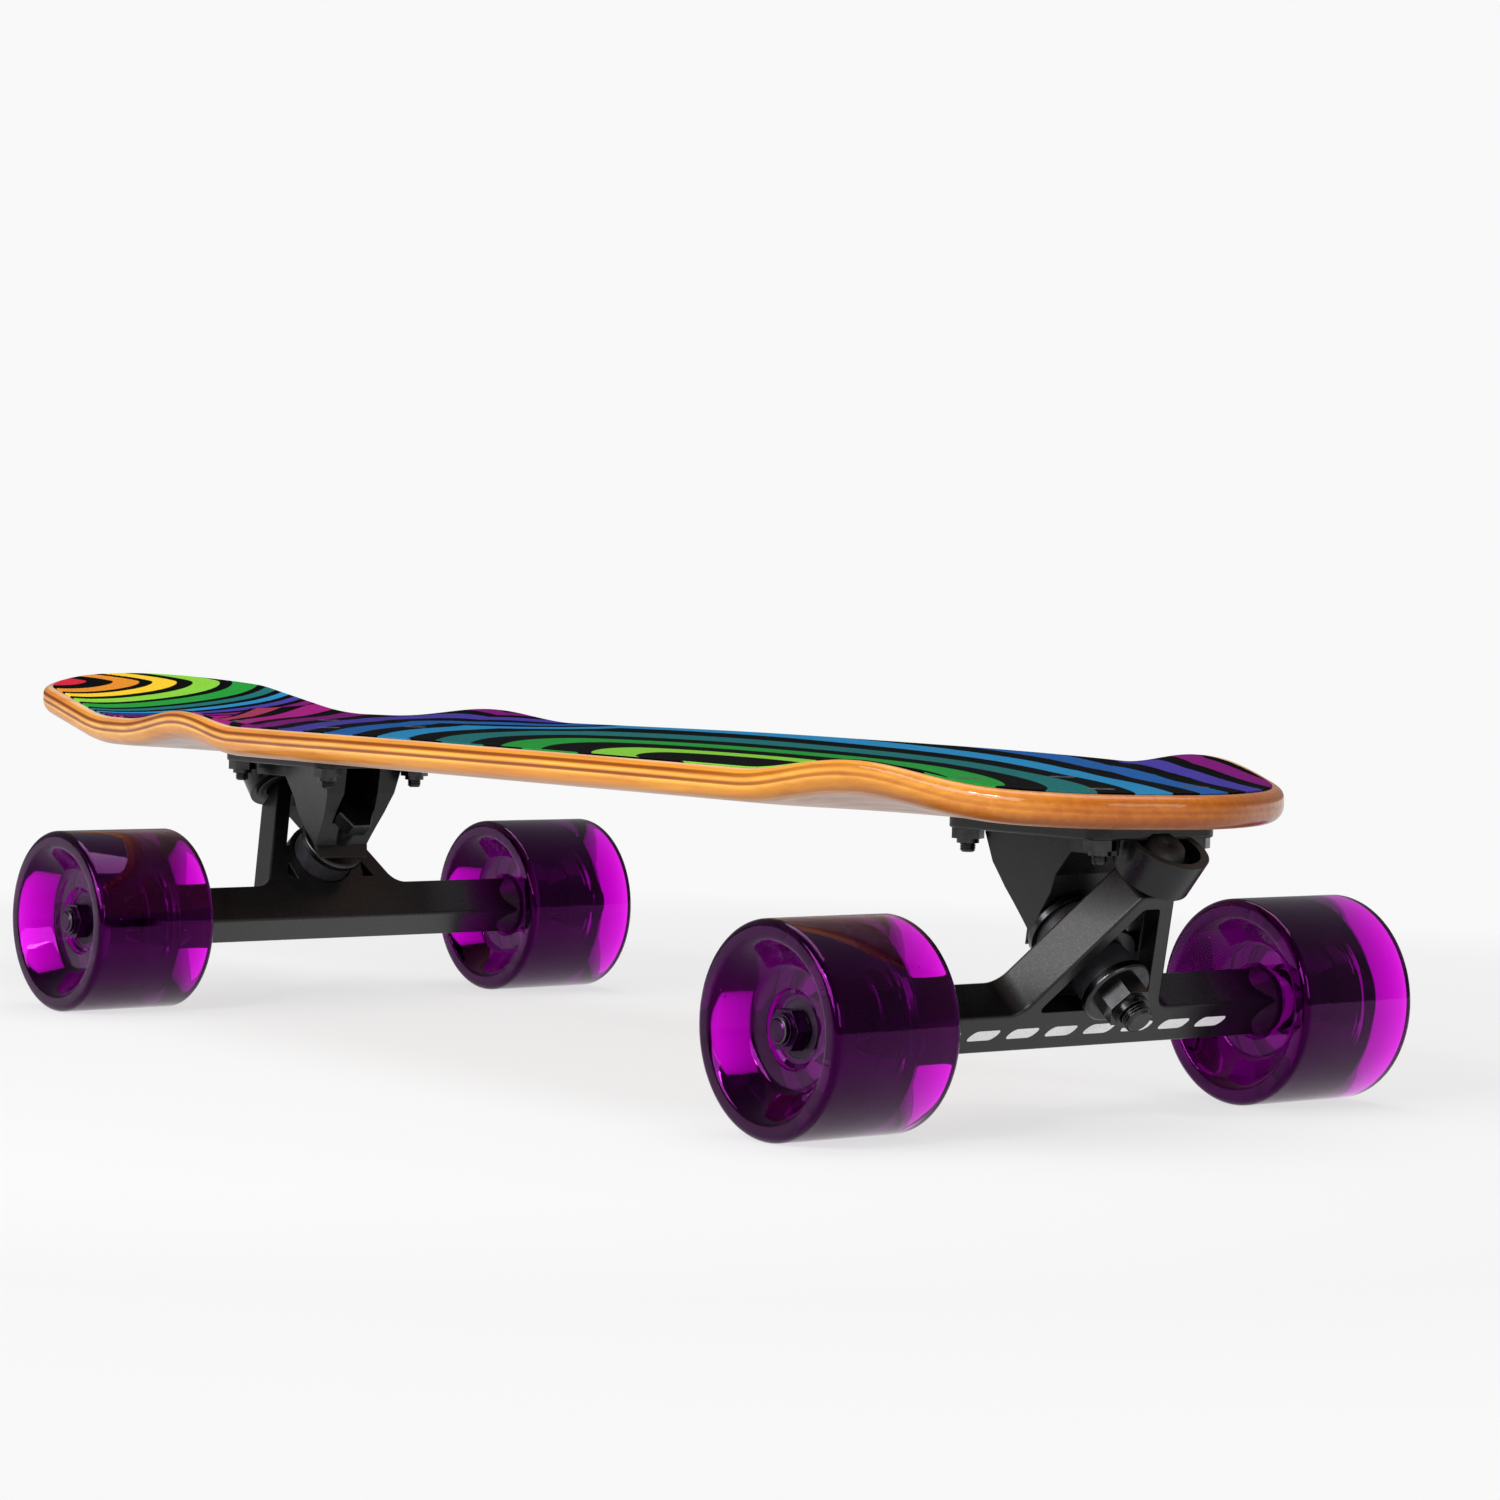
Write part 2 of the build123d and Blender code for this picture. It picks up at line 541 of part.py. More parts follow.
def build_axle_nuts():
    seat = WHEEL_Y + SPACER_LENGTH / 2 + BEARING_WIDTH + SPEED_WASHER
    one = Pos(0, 0, seat) * nut(AXLE_NUT_FLATS, AXLE_NUT_HEIGHT, AXLE_RADIUS, dome=1.4)
    return group([Rot(-90 * side, 0, 0) * one for side in SIDES.values()])


def build_speed_washers():
    washers = []
    inner = HANGER_WIDTH / 2
    outer = WHEEL_Y + SPACER_LENGTH / 2 + BEARING_WIDTH
    for side in SIDES.values():
        for start in (inner, outer):
            washer = ring(SPEED_WASHER_RADIUS, AXLE_RADIUS, start, start + SPEED_WASHER)
            washers.append(Rot(-90 * side, 0, 0) * washer)
    return group(washers)


def build_mounting_bolts(truck):
    top = DECK_TOP + GRIP_THICKNESS
    return group([spot * Pos(0, 0, top) * mounting_bolt() for spot in bolt_spots(truck)])


def build_mounting_nuts(truck):
    one = Rot(180, 0, 0) * nut(BOLT_NUT_FLATS, BOLT_NUT_HEIGHT, BOLT_RADIUS, dome=1.5)
    low = AXLE_HEIGHT + PLATE_BOTTOM
    return group([spot * Pos(0, 0, low) * one for spot in bolt_spots(truck)])


# ======================================================================== wheels
# A wheel is built about Z with its outer face upward, then laid on its axle.

def build_wheel():
    half = WHEEL_WIDTH / 2
    seat = SPACER_LENGTH / 2
    hub = 14.6
    corner = 2.4
    profile = [
        (9.4, 0), (9.4, seat), (BEARING_RADIUS, seat), (BEARING_RADIUS, seat + BEARING_WIDTH + 0.2),
        (12.6, seat + BEARING_WIDTH + 0.9), (12.6, hub), (20.0, hub), (27.4, half - 1.6),
        (29.0, half), (WHEEL_RADIUS - corner, half),
    ]
    rest = (WHEEL_RADIUS, half - corner)
    bow = corner * (1 - sin(radians(45)))
    edge = ThreePointArc(profile[-1], (WHEEL_RADIUS - bow, half - bow), rest)
    outline = Curve() + [Polyline(*profile), edge, Polyline(rest, (WHEEL_RADIUS, 0), profile[0])]
    section = Plane.XZ * make_face(outline)
    upper = revolve(section, Axis.Z)
    return upper + mirror(upper, Plane.XY)


def bearing_heights():
    """The middles of a wheel's two bearings."""
    reach = (SPACER_LENGTH + BEARING_WIDTH) / 2
    return (-reach, reach)


def ball_groove():
    return Torus(BALL_CIRCLE, BALL_RADIUS + GROOVE_CLEARANCE)


def build_outer_races():
    half = BEARING_WIDTH / 2
    race = ring(BEARING_RADIUS, OUTER_RACE_BORE, -half, half) - ball_groove()
    return group([Pos(0, 0, middle) * race for middle in bearing_heights()])


def build_inner_races():
    half = BEARING_WIDTH / 2
    race = ring(INNER_RACE_RADIUS, AXLE_RADIUS, -half, half) - ball_groove()
    return group([Pos(0, 0, middle) * race for middle in bearing_heights()])


def build_balls():
    balls = []
    for middle in bearing_heights():
        for i in range(BALL_COUNT):
            turn = Rot(0, 0, 360 * i / BALL_COUNT)
            balls.append(Pos(0, 0, middle) * turn * Pos(BALL_CIRCLE, 0, 0) * Sphere(BALL_RADIUS))
    return group(balls)


def build_shields():
    shields = []
    for middle in bearing_heights():
        for side in SIDES.values():
            outer = middle + side * (BEARING_WIDTH / 2 - 0.15)
            inner = outer - side * 0.5
            low, high = sorted((outer, inner))
            shields.append(ring(OUTER_RACE_BORE, INNER_RACE_RADIUS + 0.25, low, high))
    return group(shields)


def build_spacer():
    return ring(SPACER_RADIUS, AXLE_RADIUS, -SPACER_LENGTH / 2, SPACER_LENGTH / 2)


# ======================================================================== everything in place

sheet = deck_sheet()
write("deck", build_deck(sheet))
write("grip_sheet", build_grip(sheet))

truck_pieces = {
    "baseplate": build_baseplate(),
    "pivot_cup": build_pivot_cup(),
    "kingpin": build_kingpin(),
    "kingpin_nut": build_kingpin_nut(),
    "boardside_washer": build_boardside_washer(),
    "boardside_bushing": build_boardside_bushing(),
    "roadside_bushing": build_roadside_bushing(),
    "roadside_washer": build_roadside_washer(),
    "hanger": build_hanger(),
    "axle": build_axle(),
    "axle_nuts": build_axle_nuts(),
    "speed_washers": build_speed_washers(),
}
wheel_pieces = {
    "wheel": build_wheel(),
    "outer_races": build_outer_races(),
    "inner_races": build_inner_races(),
    "bearing_balls": build_balls(),
    "bearing_shields": build_shields(),
    "bearing_spacer": build_spacer(),
}
for truck, place in TRUCKS.items():
    for piece, shape in truck_pieces.items():
        write(f"{truck}_{piece}", place * shape)
    write(f"{truck}_mounting_bolts", build_mounting_bolts(truck))
    write(f"{truck}_mounting_nuts", build_mounting_nuts(truck))
    for side_name, side in SIDES.items():
        axle_x = place.position.X
        wheel_place = Pos(axle_x, side * WHEEL_Y, AXLE_HEIGHT) * Rot(-90 * side, 0, 0)
        for piece, shape in wheel_pieces.items():
            write(f"{truck}_{side_name}_{piece}", wheel_place * shape)
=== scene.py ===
import random
from math import cos, pi, radians, sin, sqrt, tan

import bmesh
import bpy
import numpy as np
from mathutils import Matrix, Vector


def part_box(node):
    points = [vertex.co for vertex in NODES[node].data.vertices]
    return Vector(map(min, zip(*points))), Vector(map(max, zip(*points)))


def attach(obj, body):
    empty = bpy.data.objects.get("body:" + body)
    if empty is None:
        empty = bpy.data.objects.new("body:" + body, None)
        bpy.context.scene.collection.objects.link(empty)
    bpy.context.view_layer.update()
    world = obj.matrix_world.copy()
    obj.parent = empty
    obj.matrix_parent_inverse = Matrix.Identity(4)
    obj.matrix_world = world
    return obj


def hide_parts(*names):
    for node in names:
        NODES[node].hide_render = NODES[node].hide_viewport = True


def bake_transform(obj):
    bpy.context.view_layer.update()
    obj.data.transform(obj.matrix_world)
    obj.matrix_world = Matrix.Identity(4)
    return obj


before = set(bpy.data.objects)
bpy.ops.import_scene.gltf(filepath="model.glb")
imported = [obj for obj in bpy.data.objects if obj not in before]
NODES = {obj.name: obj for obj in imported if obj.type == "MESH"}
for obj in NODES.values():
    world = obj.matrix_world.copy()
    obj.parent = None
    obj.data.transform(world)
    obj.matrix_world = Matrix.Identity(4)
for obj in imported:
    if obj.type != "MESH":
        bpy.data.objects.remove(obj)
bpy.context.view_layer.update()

# The frame is the CAD's, in metres: +X towards the nose, +Y to the rider's left, +Z up.
TRUCKS = {"front": 1, "rear": -1}
SIDES = {"left": 1, "right": -1}


def middle(node):
    """The middle of a CAD node's box."""
    low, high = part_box(node)
    return (low + high) / 2


AXLES = {truck: middle(f"{truck}_axle") for truck in TRUCKS}

# ---------------------------------------------------------------- camera, floor and light

YAW, PITCH, ROLL = 2.4702, -0.0430, 0.0222
CAMERA_PLACE = Vector((1.35055, -0.99478, 0.18176))
LENS, SENSOR = 107.82, 36

WHITE = 0.945
ROOM = (0.24, 0.24, 0.25, 1)
GLOW_AROUND, GLOW_FLOOR = 0.55, 0.5

# Each light as (place, aim, size, watts), in metres.
LIGHTS = {
    "key": ((0.35, -2.1, 0.98), (0.10, 0, 0.08), (2.5, 0.95), 54),
    "fill": ((2.6, -0.2, 0.8), (0.1, 0, 0.08), (1.2, 0.9), 14),
    "glint": ((0.62, -1.25, 0.96), (0.3, -0.06, 0.1), (0.35, 0.12), 8),
    "top": ((-0.1, 0.3, 2.2), (0.0, 0, 0.1), (2.2, 1.4), 30),
}
FLOOR_HALF = 30.0
FLOOR_GAP = 0.0001


def make_camera():
    data = bpy.data.cameras.new("camera")
    data.sensor_width = SENSOR
    data.lens = LENS
    camera = bpy.data.objects.new("camera", data)
    bpy.context.scene.collection.objects.link(camera)
    forward = Vector((cos(PITCH) * cos(YAW), cos(PITCH) * sin(YAW), sin(PITCH)))
    level = Vector((sin(YAW), -cos(YAW), 0))
    upright = level.cross(forward)
    right = level * cos(ROLL) + upright * sin(ROLL)
    up = upright * cos(ROLL) - level * sin(ROLL)
    turn = Matrix((right, up, -forward)).transposed().to_4x4()
    camera.matrix_world = Matrix.Translation(CAMERA_PLACE) @ turn
    bpy.context.scene.camera = camera


def softbox(name, place, aim, size, power):
    data = bpy.data.lights.new(name, "AREA")
    data.shape = "RECTANGLE"
    data.size, data.size_y = size
    data.energy = power
    light = bpy.data.objects.new(name, data)
    bpy.context.scene.collection.objects.link(light)
    facing = (Vector(aim) - Vector(place)).to_track_quat("-Z", "Y")
    light.matrix_world = Matrix.Translation(place) @ facing.to_matrix().to_4x4()


def make_world():
    """White to the eye and through the clear wheels, where it is brighter, and a grey room elsewhere."""
    world = bpy.data.worlds.new("studio")
    bpy.context.scene.world = world
    world.use_nodes = True
    tree = world.node_tree
    sky = tree.nodes["Background"]
    room = tree.nodes.new("ShaderNodeBackground")
    mix = tree.nodes.new("ShaderNodeMixShader")
    path = tree.nodes.new("ShaderNodeLightPath")
    either = tree.nodes.new("ShaderNodeMath")
    brighter = tree.nodes.new("ShaderNodeMath")
    either.operation = "MAXIMUM"
    brighter.operation = "MULTIPLY_ADD"
    sky.inputs["Color"].default_value = (WHITE, WHITE, WHITE, 1)
    room.inputs["Color"].default_value = ROOM
    brighter.inputs[1].default_value = GLOW_AROUND
    brighter.inputs[2].default_value = 1.0
    tree.links.new(path.outputs["Is Camera Ray"], either.inputs[0])
    tree.links.new(path.outputs["Is Transmission Ray"], either.inputs[1])
    tree.links.new(path.outputs["Is Transmission Ray"], brighter.inputs[0])
    tree.links.new(brighter.outputs[0], sky.inputs["Strength"])
    tree.links.new(either.outputs[0], mix.inputs[0])
    tree.links.new(room.outputs[0], mix.inputs[1])
    tree.links.new(sky.outputs[0], mix.inputs[2])
    tree.links.new(mix.outputs[0], tree.nodes["World Output"].inputs["Surface"])


# ---------------------------------------------------------------- material helpers

class Shader:
    """A material's node tree, with short calls for the nodes that the materials use."""

    def __init__(self, name):
        self.material = bpy.data.materials.new(name)
        self.material.use_nodes = True
        self.tree = self.material.node_tree
        self.bsdf = self.tree.nodes["Principled BSDF"]
        self.coords = self.tree.nodes.new("ShaderNodeTexCoord").outputs["Object"]

    def node(self, kind, **settings):
        made = self.tree.nodes.new("ShaderNode" + kind)
        for key, value in settings.items():
            setattr(made, key, value)
        return made

    def feed(self, socket, value):
        if isinstance(value, bpy.types.NodeSocket):
            self.tree.links.new(value, socket)
        else:
            socket.default_value = value

    def set(self, **values):
        for key, value in values.items():
            self.feed(self.bsdf.inputs[key.replace("_", " ")], value)

    def math(self, operation, *values):
        made = self.node("Math", operation=operation)
        for socket, value in zip(made.inputs, values):
            self.feed(socket, value)
        return made.outputs[0]

    def stretch(self, scale, coords=None):
        made = self.node("Mapping")
        self.feed(made.inputs["Vector"], coords or self.coords)
        made.inputs["Scale"].default_value = scale
        return made.outputs[0]

    def noise(self, scale, detail=3.0, rough=0.55, coords=None, bend=0.0):
        made = self.node("TexNoise")
        self.feed(made.inputs["Vector"], coords or self.coords)
        made.inputs["Scale"].default_value = scale
        made.inputs["Detail"].default_value = detail
        made.inputs["Roughness"].default_value = rough
        made.inputs["Distortion"].default_value = bend
        return made.outputs["Fac"]

    def span(self, value, low, high, to_low=0.0, to_high=1.0):
        made = self.node("MapRange")
        self.feed(made.inputs["Value"], value)
        limits = {"From Min": low, "From Max": high, "To Min": to_low, "To Max": to_high}
        for key, number in limits.items():
            made.inputs[key].default_value = number
        return made.outputs[0]

    def ramp(self, value, stops, mode="LINEAR"):
        made = self.node("ValToRGB")
        band = made.color_ramp
        band.interpolation = mode
        while len(band.elements) > 1:
            band.elements.remove(band.elements[-1])
        band.elements[0].position = stops[0][0]
        band.elements[0].color = (*stops[0][1], 1)
        for place, colour in stops[1:]:
            band.elements.new(place).color = (*colour, 1)
        self.feed(made.inputs[0], value)
        return made.outputs[0]

    def mix(self, factor, a, b, mode="MIX"):
        made = self.node("Mix", data_type="RGBA", blend_type=mode)
        self.feed(made.inputs[0], factor)
        for socket, value in ((made.inputs[6], a), (made.inputs[7], b)):
            self.feed(socket, value if isinstance(value, bpy.types.NodeSocket) else (*value, 1))
        return made.outputs[2]

    def bump(self, height, depth, strength=1.0, rounded=0.0):
        made = self.node("Bump")
        made.inputs["Strength"].default_value = strength
        made.inputs["Distance"].default_value = depth
        self.feed(made.inputs["Height"], height)
        if rounded:
            bevel = self.node("Bevel", samples=4)
            bevel.inputs["Radius"].default_value = rounded
            self.tree.links.new(bevel.outputs[0], made.inputs["Normal"])
        return made.outputs[0]

    def attribute(self, name):
        return self.node("Attribute", attribute_name=name).outputs["Fac"]


def srgb(red, green, blue):
    """A screen colour as the linear colour that shaders take."""
    return tuple((c / 255) ** 2.2 for c in (red, green, blue))


# ---------------------------------------------------------------- materials

def wood_material():
    """Lacquered maple: stained plies on the edge, pale veneer with its grain along the board below."""
    s = Shader("maple_lacquered")
    depth = s.attribute("depth")
    honey = srgb(208, 140, 44)
    light = srgb(238, 180, 84)
    brown = srgb(124, 62, 6)
    # Top (0) to underside (1); the darker stop at 0.90 is painted shade on the edge's lower rounding.
    stops = [
        (0.00, srgb(236, 206, 170)), (0.04, srgb(226, 178, 120)), (0.08, srgb(216, 138, 46)),
        (0.16, honey), (0.20, brown), (0.275, srgb(136, 72, 12)), (0.31, honey), (0.37, light),
        (0.43, honey), (0.465, brown), (0.53, srgb(140, 76, 14)), (0.57, light), (0.68, honey),
        (0.80, honey), (0.90, srgb(190, 128, 62)), (0.97, srgb(196, 156, 124)), (1.0, srgb(214, 192, 178)),
    ]
    waver = s.math("MULTIPLY_ADD", s.noise(1.0, 2, coords=s.stretch((9, 25, 25))), 0.05, -0.025)
    plies = s.ramp(s.math("ADD", depth, waver), stops)
    split = s.node("SeparateXYZ")
    s.feed(split.inputs[0], s.coords)
    along = split.outputs[0]
    # Towards the nose the plies fade into plain amber, darker low on the edge as painted shade.
    nose = s.span(along, 0.17, 0.29, 0.0, 0.80)
    nose_blend = s.math("MULTIPLY", nose, s.math("LESS_THAN", depth, 0.93))
    amber_stops = [(0.10, srgb(206, 138, 44)), (0.55, srgb(200, 132, 48)), (0.85, srgb(150, 92, 42))]
    amber = s.ramp(depth, amber_stops)
    plies = s.mix(nose_blend, plies, amber)
    grain = s.noise(1.0, 5, 0.6, s.stretch((14, 420, 420)), 0.4)
    pores = s.noise(1.0, 4, 0.7, s.stretch((90, 900, 900)))
    broad = s.noise(1.0, 3, 0.5, s.stretch((5, 38, 60)), 1.2)
    plies = s.mix(s.span(grain, 0.35, 0.75, 0.0, 0.35), plies, srgb(170, 100, 42), "MULTIPLY")
    plies = s.mix(s.span(broad, 0.40, 0.70, 0.0, 0.30), plies, srgb(205, 140, 84), "MULTIPLY")
    plies = s.mix(s.span(pores, 0.62, 0.74, 0.0, 0.45), plies, srgb(120, 66, 26))
    kick = s.span(along, -0.34, -0.26, 0.5, 0.0)
    plies = s.mix(kick, plies, srgb(190, 130, 84), "MULTIPLY")
    end_grain = s.attribute("end_grain")
    plies = s.mix(s.math("MULTIPLY", end_grain, 0.75), plies, srgb(202, 152, 84), "MULTIPLY")
    s.set(Base_Color=plies, Roughness=s.span(grain, 0.3, 0.8, 0.34, 0.48))
    s.set(Specular_IOR_Level=0.15, Coat_Weight=s.span(depth, 0.90, 1.0, 0.55, 0.10))
    s.set(Coat_Roughness=0.06, Coat_IOR=1.5)
    s.set(Normal=s.bump(grain, 0.00006, 0.5))
    coat = s.bump(s.noise(1.0, 3, 0.6, s.stretch((110, 110, 420))), 0.00016, 0.7)
    s.feed(s.bsdf.inputs["Coat Normal"], coat)
    return s.material


RED, ORANGE, YELLOW = srgb(206, 44, 66), srgb(226, 140, 48), srgb(246, 202, 52)
LIME, GREEN, TEAL = srgb(136, 206, 66), srgb(44, 150, 62), srgb(38, 110, 110)
SKY, BLUE, INDIGO = srgb(46, 134, 184), srgb(40, 92, 160), srgb(72, 62, 152)
PURPLE, MAGENTA, ROSE = srgb(120, 30, 112), srgb(170, 38, 130), srgb(172, 62, 92)

# The printed rings as (radius, half the band's width, colour), in metres.
BOARD_RINGS = [
    (0.0340, 0.0066, LIME), (0.0625, 0.0062, GREEN), (0.0845, 0.0056, TEAL), (0.1045, 0.0050, SKY),
    (0.1215, 0.0044, BLUE), (0.1375, 0.0040, INDIGO), (0.1510, 0.0036, PURPLE),
    (0.1620, 0.0030, MAGENTA), (0.1710, 0.0022, ROSE),
]
TAIL_RINGS = [
    (0.0000, 0.0095, RED), (0.0185, 0.0030, ORANGE), (0.0276, 0.0028, YELLOW), (0.0372, 0.0032, LIME),
    (0.0468, 0.0031, GREEN), (0.0545, 0.0019, TEAL), (0.0607, 0.0017, SKY), (0.0668, 0.0017, INDIGO),
    (0.0730, 0.0018, PURPLE), (0.0795, 0.0020, MAGENTA), (0.0865, 0.0022, ROSE),
]


RING_GAP = 0.0035
# Each nest's shade darkens its print colours as painted shade, more over the board than on the tail.
BOARD_NEST = {
    "centre": (0.1327, -0.0353), "lean": radians(-20), "stretch": (2.7, 1.0), "powers": (2.0, 1.8, 1.5),
    "rings": BOARD_RINGS, "shade": 0.74,
}
TAIL_NEST = {
    "centre": (-0.318, -0.050), "lean": 0.0, "stretch": (1.0, 2.1), "powers": (1.5, 1.5, 1.5),
    "rings": TAIL_RINGS, "shade": 0.92,
}


def grip_material():
    """Printed grip tape: two nests of rainbow rings on black, under a fine clear grit."""
    s = Shader("grip_printed")
    black = srgb(6, 6, 8)
    sway = s.math("MULTIPLY_ADD", s.noise(7.0, 1), 0.003, -0.0015)
    swayed = s.node("VectorMath", operation="ADD")
    s.feed(swayed.inputs[0], s.coords)
    s.feed(swayed.inputs[1], sway)
    where = swayed.outputs[0]

    def swell(x, y, middle, reach, start, gain):
        """How much further out the rings are over one flare."""
        near = s.span(s.math("ABSOLUTE", s.math("SUBTRACT", x, middle)), 0.0, reach, 1.0, 0.0)
        high = s.math("MAXIMUM", s.math("SUBTRACT", y, start), 0.0)
        return s.math("MULTIPLY", s.math("MULTIPLY", near, high), gain)

    flat = s.node("SeparateXYZ")
    s.feed(flat.inputs[0], where)
    x, y = flat.outputs[0], flat.outputs[1]
    over_rear = swell(x, y, -0.155, 0.075, 0.045, 1.5)
    over_front = swell(x, y, 0.2565, 0.055, 0.050, 0.35)
    swells = s.math("ADD", over_rear, over_front)

    def nest(centre, lean, stretch, powers, rings, shade, more=0.0):
        """The rings round a centre, and how far out each spot is. A power under 2 makes them pointed."""
        placed = s.node("Mapping", vector_type="TEXTURE")
        s.feed(placed.inputs["Vector"], where)
        placed.inputs["Location"].default_value = (*centre, 0)
        placed.inputs["Rotation"].default_value = (0, 0, lean)
        placed.inputs["Scale"].default_value = (*stretch, 1)
        split = s.node("SeparateXYZ")
        s.feed(split.inputs[0], placed.outputs[0])
        tailward = s.math("LESS_THAN", split.outputs[0], 0.0)
        left = s.math("GREATER_THAN", split.outputs[1], 0.0)
        rest, tailward_right, tailward_left = powers
        power = s.math("MULTIPLY_ADD", tailward, tailward_right - rest, rest)
        both = s.math("MULTIPLY", tailward, left)
        power = s.math("ADD", power, s.math("MULTIPLY", both, tailward_left - tailward_right))
        parts = [s.math("POWER", s.math("ABSOLUTE", split.outputs[i]), power) for i in (0, 1)]
        total = s.math("POWER", s.math("ADD", *parts), s.math("DIVIDE", 1.0, power))
        radius = s.math("ADD", total, more)
        reach = rings[-1][0] + 0.01
        stops = [(0.0, black)]
        for ring, half, colour in rings:
            # The ink colour darkened by the nest's painted shade.
            dimmed = tuple(c * shade for c in colour)
            stops += [(max(ring - half, 0.0001) / reach, dimmed), ((ring + half) / reach, black)]
        return s.ramp(s.math("DIVIDE", radius, reach), stops, "CONSTANT"), radius

    board, board_radius = nest(**BOARD_NEST, more=swells)
    tail, _ = nest(**TAIL_NEST)
    border = s.math("MULTIPLY_ADD", y, -0.136, -0.2642)
    behind = s.math("LESS_THAN", x, border)
    outside = s.math("GREATER_THAN", board_radius, BOARD_RINGS[-1][0] + RING_GAP)
    print_colour = s.mix(s.math("MAXIMUM", behind, outside), board, tail)

    grit = s.noise(2600, 2, 0.6)
    coarse = s.node("TexVoronoi")
    s.feed(coarse.inputs["Vector"], s.coords)
    coarse.inputs["Scale"].default_value = 1500
    colour = s.mix(s.span(grit, 0.45, 0.75, 0.0, 0.40), print_colour, black)
    s.set(Base_Color=colour, Roughness=s.span(grit, 0.3, 0.7, 0.55, 0.80), Specular_IOR_Level=0.02)
    height = s.math("ADD", grit, s.math("MULTIPLY", coarse.outputs["Distance"], 0.8))
    s.set(Normal=s.bump(height, 0.00018, 0.55))
    return s.material


def powder_material():
    """Black powder coat on a casting: satin, with a fine orange peel and dust in it."""
    s = Shader("powder_black")
    peel = s.noise(1600, 2, 0.5)
    broad = s.noise(60, 3)
    colour = s.ramp(broad, [(0.35, (0.0025, 0.0025, 0.003)), (0.75, (0.005, 0.005, 0.0055))])
    s.set(Base_Color=colour, Roughness=s.span(peel, 0.3, 0.75, 0.26, 0.38), Specular_IOR_Level=0.36)
    s.set(Normal=s.bump(peel, 0.00003, 0.25, rounded=0.0005))
    return s.material


def metal_material(name, colour, rough, brushed=0.00003, tint=0.35):
    """Plated steel with fine turning marks and patchy tarnish."""
    s = Shader(name)
    marks = s.noise(3200, 2, 0.5)
    patches = s.noise(220, 4, 0.6)
    darker = tuple(c * (1 - tint) for c in colour)
    s.set(Base_Color=s.mix(s.span(patches, 0.35, 0.7), colour, darker), Metallic=1.0)
    s.set(Roughness=s.span(s.math("ADD", marks, patches), 0.6, 1.4, rough * 0.75, rough * 1.35))
    s.set(Normal=s.bump(marks, brushed, 0.4, rounded=0.00025))
    return s.material


def rubber_material(name, colour, rough):
    """Cast urethane or moulded rubber: a soft sheen with faint mould texture."""
    s = Shader(name)
    cloudy = s.noise(260, 4)
    fine = s.noise(1900, 2)
    lighter = tuple(min(c * 1.8 + 0.004, 1) for c in colour)
    s.set(Base_Color=s.mix(s.span(cloudy, 0.35, 0.75), colour, lighter))
    s.set(Roughness=s.span(fine, 0.3, 0.7, rough * 0.8, rough * 1.2), Specular_IOR_Level=0.4)
    s.set(Normal=s.bump(fine, 0.00005, 0.35))
    return s.material


def urethane_material():
    """Clear purple urethane: its colour comes from how much of it the light goes through."""
    s = Shader("urethane_clear")
    s.set(Base_Color=(1.0, 0.90, 1.0, 1), Transmission_Weight=1.0, IOR=1.46)
    s.set(Specular_IOR_Level=0.16, Specular_Tint=(0.90, 0.05, 1.0, 1))
    smears = s.noise(90, 3)
    s.set(Roughness=s.span(smears, 0.35, 0.7, 0.015, 0.05))
    s.set(Normal=s.bump(s.noise(260, 2), 0.00003, 0.25))
    inside = s.node("VolumeAbsorption")
    inside.inputs["Color"].default_value = (0.876, 0.0, 0.880, 1)
    inside.inputs["Density"].default_value = 600.0
    s.tree.links.new(inside.outputs[0], s.tree.nodes["Material Output"].inputs["Volume"])
    return s.material


def bubble_material():
    """Air caught in the urethane."""
    s = Shader("trapped_air")
    s.set(Base_Color=(1, 1, 1, 1), Transmission_Weight=1.0, IOR=0.67)
    s.set(Roughness=s.span(s.noise(900, 1), 0.3, 0.7, 0.0, 0.03))
    return s.material


def paint_material():
    """The white dashes printed on a hanger."""
    s = Shader("print_white")
    worn = s.noise(1500, 3, 0.6)
    s.set(Base_Color=s.mix(s.span(worn, 0.5, 0.8, 0.0, 0.5), srgb(232, 234, 232), srgb(150, 152, 150)))
    s.set(Roughness=s.span(worn, 0.3, 0.7, 0.35, 0.55), Normal=s.bump(worn, 0.00003, 0.3))
    return s.material


def floor_material():
    """A pale sweep, lit mostly from itself so that shadows stay faint, and evenly white far off."""
    s = Shader("sweep_pale")
    split = s.node("SeparateXYZ")
    s.feed(split.inputs[0], s.coords)
    squares = [s.math("POWER", split.outputs[i], 2.0) for i in (0, 1)]
    away = s.span(s.math("SQRT", s.math("ADD", *squares)), 0.42, 0.75)
    stops = [(place, (tone, tone, tone)) for place, tone in ((0.0, 0.19), (0.5, 0.075), (1.0, 0.0))]
    s.set(Base_Color=s.ramp(away, stops), Roughness=1.0, Specular_IOR_Level=0.0)
    own = s.span(away, 0.0, 1.0, 0.67, WHITE)
    through = s.node("LightPath").outputs["Is Transmission Ray"]
    s.set(Emission_Color=(1, 1, 1, 1), Emission_Strength=s.math("MULTIPLY_ADD", through, GLOW_FLOOR, own))
    return s.material


# ---------------------------------------------------------------- mesh helpers

